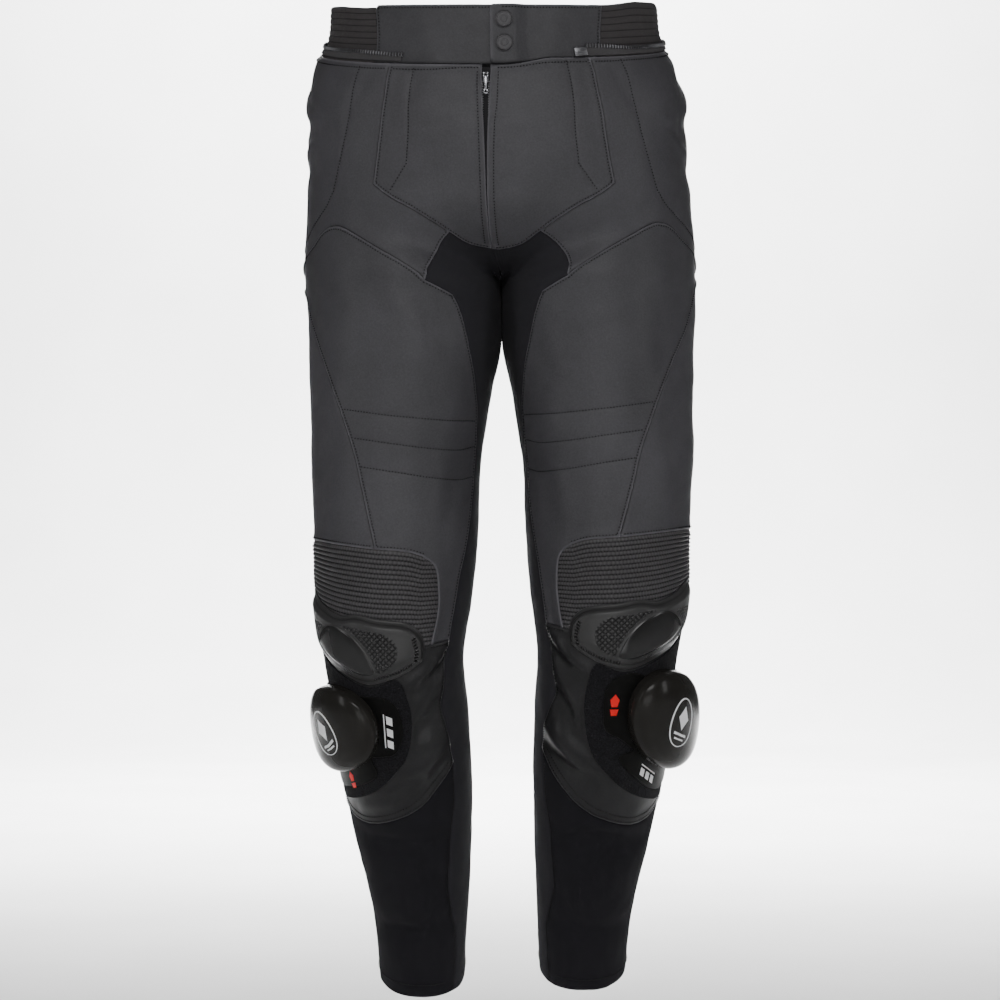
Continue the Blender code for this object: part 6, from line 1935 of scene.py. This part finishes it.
def make_stage():
    """A pale floor that sweeps up into a pale wall, soft lights, and the photograph's camera."""
    floor, near, bend, wall = -1.02, -4.6, 3.6, 4.6
    profile = [(near, floor), (0.0, floor), (1.6, floor), (1.8, floor), (bend, floor)]
    for k in range(1, 13):
        turn = math.pi / 2 * k / 12
        profile.append((bend + math.sin(turn) * (wall - bend), floor + 1 - math.cos(turn)))
    profile.append((wall, 3.4))
    corners = [(x, y, z) for y, z in profile for x in ((-5.5, 5.5) if y < 1.7 else (-1.5, 1.5))]
    faces = [(2 * k, 2 * k + 1, 2 * k + 3, 2 * k + 2) for k in range(len(profile) - 1)]
    make_piece("studio_sweep", corners, faces, ("studio",), sharp=None)

    world = bpy.data.worlds.new("Soft room")
    world.use_nodes = True
    sky = world.node_tree.nodes["Background"]
    sky.inputs["Color"].default_value = (1, 1, 1, 1)
    sky.inputs["Strength"].default_value = WORLD_LIGHT
    bpy.context.scene.world = world
    for name, place, aim, size, power, spread in LIGHTS:
        lamp = bpy.data.lights.new(name, "AREA")
        lamp.shape, lamp.size, lamp.size_y, lamp.energy = "RECTANGLE", size[0], size[1], power
        lamp.spread = math.radians(spread)
        light = linked(name, lamp)
        light.location = place
        light.rotation_euler = (Vector(aim) - Vector(place)).to_track_quat("-Z", "Y").to_euler()

    camera = linked("Camera", bpy.data.cameras.new("Camera"))
    camera.data.lens, camera.data.sensor_width = 108, 36
    camera.location = (-0.0015, -3.0, -0.465)
    camera.rotation_euler = (math.pi / 2, 0, 0)
    bpy.context.scene.camera = camera


# ------------------------------------------------------------------ operators and panel
def both_halves(make, *names):
    for name in names or (None,):
        for side_name in SIDES:
            make(name, side_name) if name else make(side_name)


class TROUSERS_OT_stage(bpy.types.Operator):
    """Set up the floor, the wall, the lights and the camera"""
    bl_idname = "trousers.stage"
    bl_label = "Stage"

    def execute(self, context):
        make_stage()
        return {"FINISHED"}


class TROUSERS_OT_leather(bpy.types.Operator):
    """Sew the leather panels of the yokes, hips, thighs, seat and lower knees"""
    bl_idname = "trousers.leather"
    bl_label = "Leather panels"

    def execute(self, context):
        both_halves(sew_panel, *LEATHER_PANELS)
        return {"FINISHED"}


class TROUSERS_OT_stretch(bpy.types.Operator):
    """Sew the stretch cloth of the inner legs, shins and calves"""
    bl_idname = "trousers.stretch"
    bl_label = "Stretch cloth"

    def execute(self, context):
        both_halves(sew_panel, *STRETCH_PANELS)
        return {"FINISHED"}


class TROUSERS_OT_ribs(bpy.types.Operator):
    """Gather the leather over the knees in ribs"""
    bl_idname = "trousers.ribs"
    bl_label = "Knee ribs"

    def execute(self, context):
        both_halves(sew_ribs)
        return {"FINISHED"}


class TROUSERS_OT_cups(bpy.types.Operator):
    """Mould the knee cups with their blade, studs and vents"""
    bl_idname = "trousers.cups"
    bl_label = "Knee cups"

    def execute(self, context):
        both_halves(make_cup)
        return {"FINISHED"}


class TROUSERS_OT_patches(bpy.types.Operator):
    """Lay the loop patches and the sliders' sheets on the knees"""
    bl_idname = "trousers.patches"
    bl_label = "Loop patches"

    def execute(self, context):
        both_halves(make_patches)
        return {"FINISHED"}


class TROUSERS_OT_sliders(bpy.types.Operator):
    """Mould the knee sliders"""
    bl_idname = "trousers.sliders"
    bl_label = "Knee sliders"

    def execute(self, context):
        both_halves(make_slider)
        return {"FINISHED"}


class TROUSERS_OT_waist(bpy.types.Operator):
    """Sew the waistband's leather and its elastic sides"""
    bl_idname = "trousers.waist"
    bl_label = "Waistband"

    def execute(self, context):
        for node in BANDS:
            sew_band(node)
        both_halves(sew_elastic)
        return {"FINISHED"}


class TROUSERS_OT_zips(bpy.types.Operator):
    """Set the fly zip and the connection zip"""
    bl_idname = "trousers.zips"
    bl_label = "Zips"

    def execute(self, context):
        make_zips()
        return {"FINISHED"}


class TROUSERS_OT_metal(bpy.types.Operator):
    """Set the snaps, the zip box and the fly zip's slider and pull"""
    bl_idname = "trousers.metal"
    bl_label = "Snaps and sliders"

    def execute(self, context):
        make_snaps()
        make_zip_box()
        make_fly_metal()
        return {"FINISHED"}


class TROUSERS_OT_stitches(bpy.types.Operator):
    """Sew the rows of stitches"""
    bl_idname = "trousers.stitches"
    bl_label = "Stitching"

    def execute(self, context):
        sew_rows()
        return {"FINISHED"}


STEPS = (TROUSERS_OT_stage, TROUSERS_OT_leather, TROUSERS_OT_stretch, TROUSERS_OT_ribs,
         TROUSERS_OT_cups, TROUSERS_OT_patches, TROUSERS_OT_sliders, TROUSERS_OT_waist,
         TROUSERS_OT_zips, TROUSERS_OT_metal, TROUSERS_OT_stitches)


class TROUSERS_PT_make(bpy.types.Panel):
    """The steps that make the trousers, with their sizes and colours"""
    bl_idname = "TROUSERS_PT_make"
    bl_label = "Motorcycle trousers"
    bl_space_type = "VIEW_3D"
    bl_region_type = "UI"
    bl_category = "Trousers"

    def draw(self, context):
        for step in STEPS:
            self.layout.operator(step.bl_idname)
        for group in (context.scene.trouser_sizes, context.scene.trouser_colours):
            for key in group.__annotations__:
                self.layout.prop(group, key)


CLASSES = (TrouserSizes, TrouserColours) + STEPS + (TROUSERS_PT_make,)


def register():
    for kind in CLASSES:
        bpy.utils.register_class(kind)
    bpy.types.Scene.trouser_sizes = PointerProperty(type=TrouserSizes)
    bpy.types.Scene.trouser_colours = PointerProperty(type=TrouserColours)


def unregister():
    del bpy.types.Scene.trouser_colours
    del bpy.types.Scene.trouser_sizes
    for kind in reversed(CLASSES):
        bpy.utils.unregister_class(kind)


def main():
    register()
    for step in STEPS:
        group, name = step.bl_idname.split(".")
        getattr(getattr(bpy.ops, group), name)()


if __name__ == "__main__":
    main()
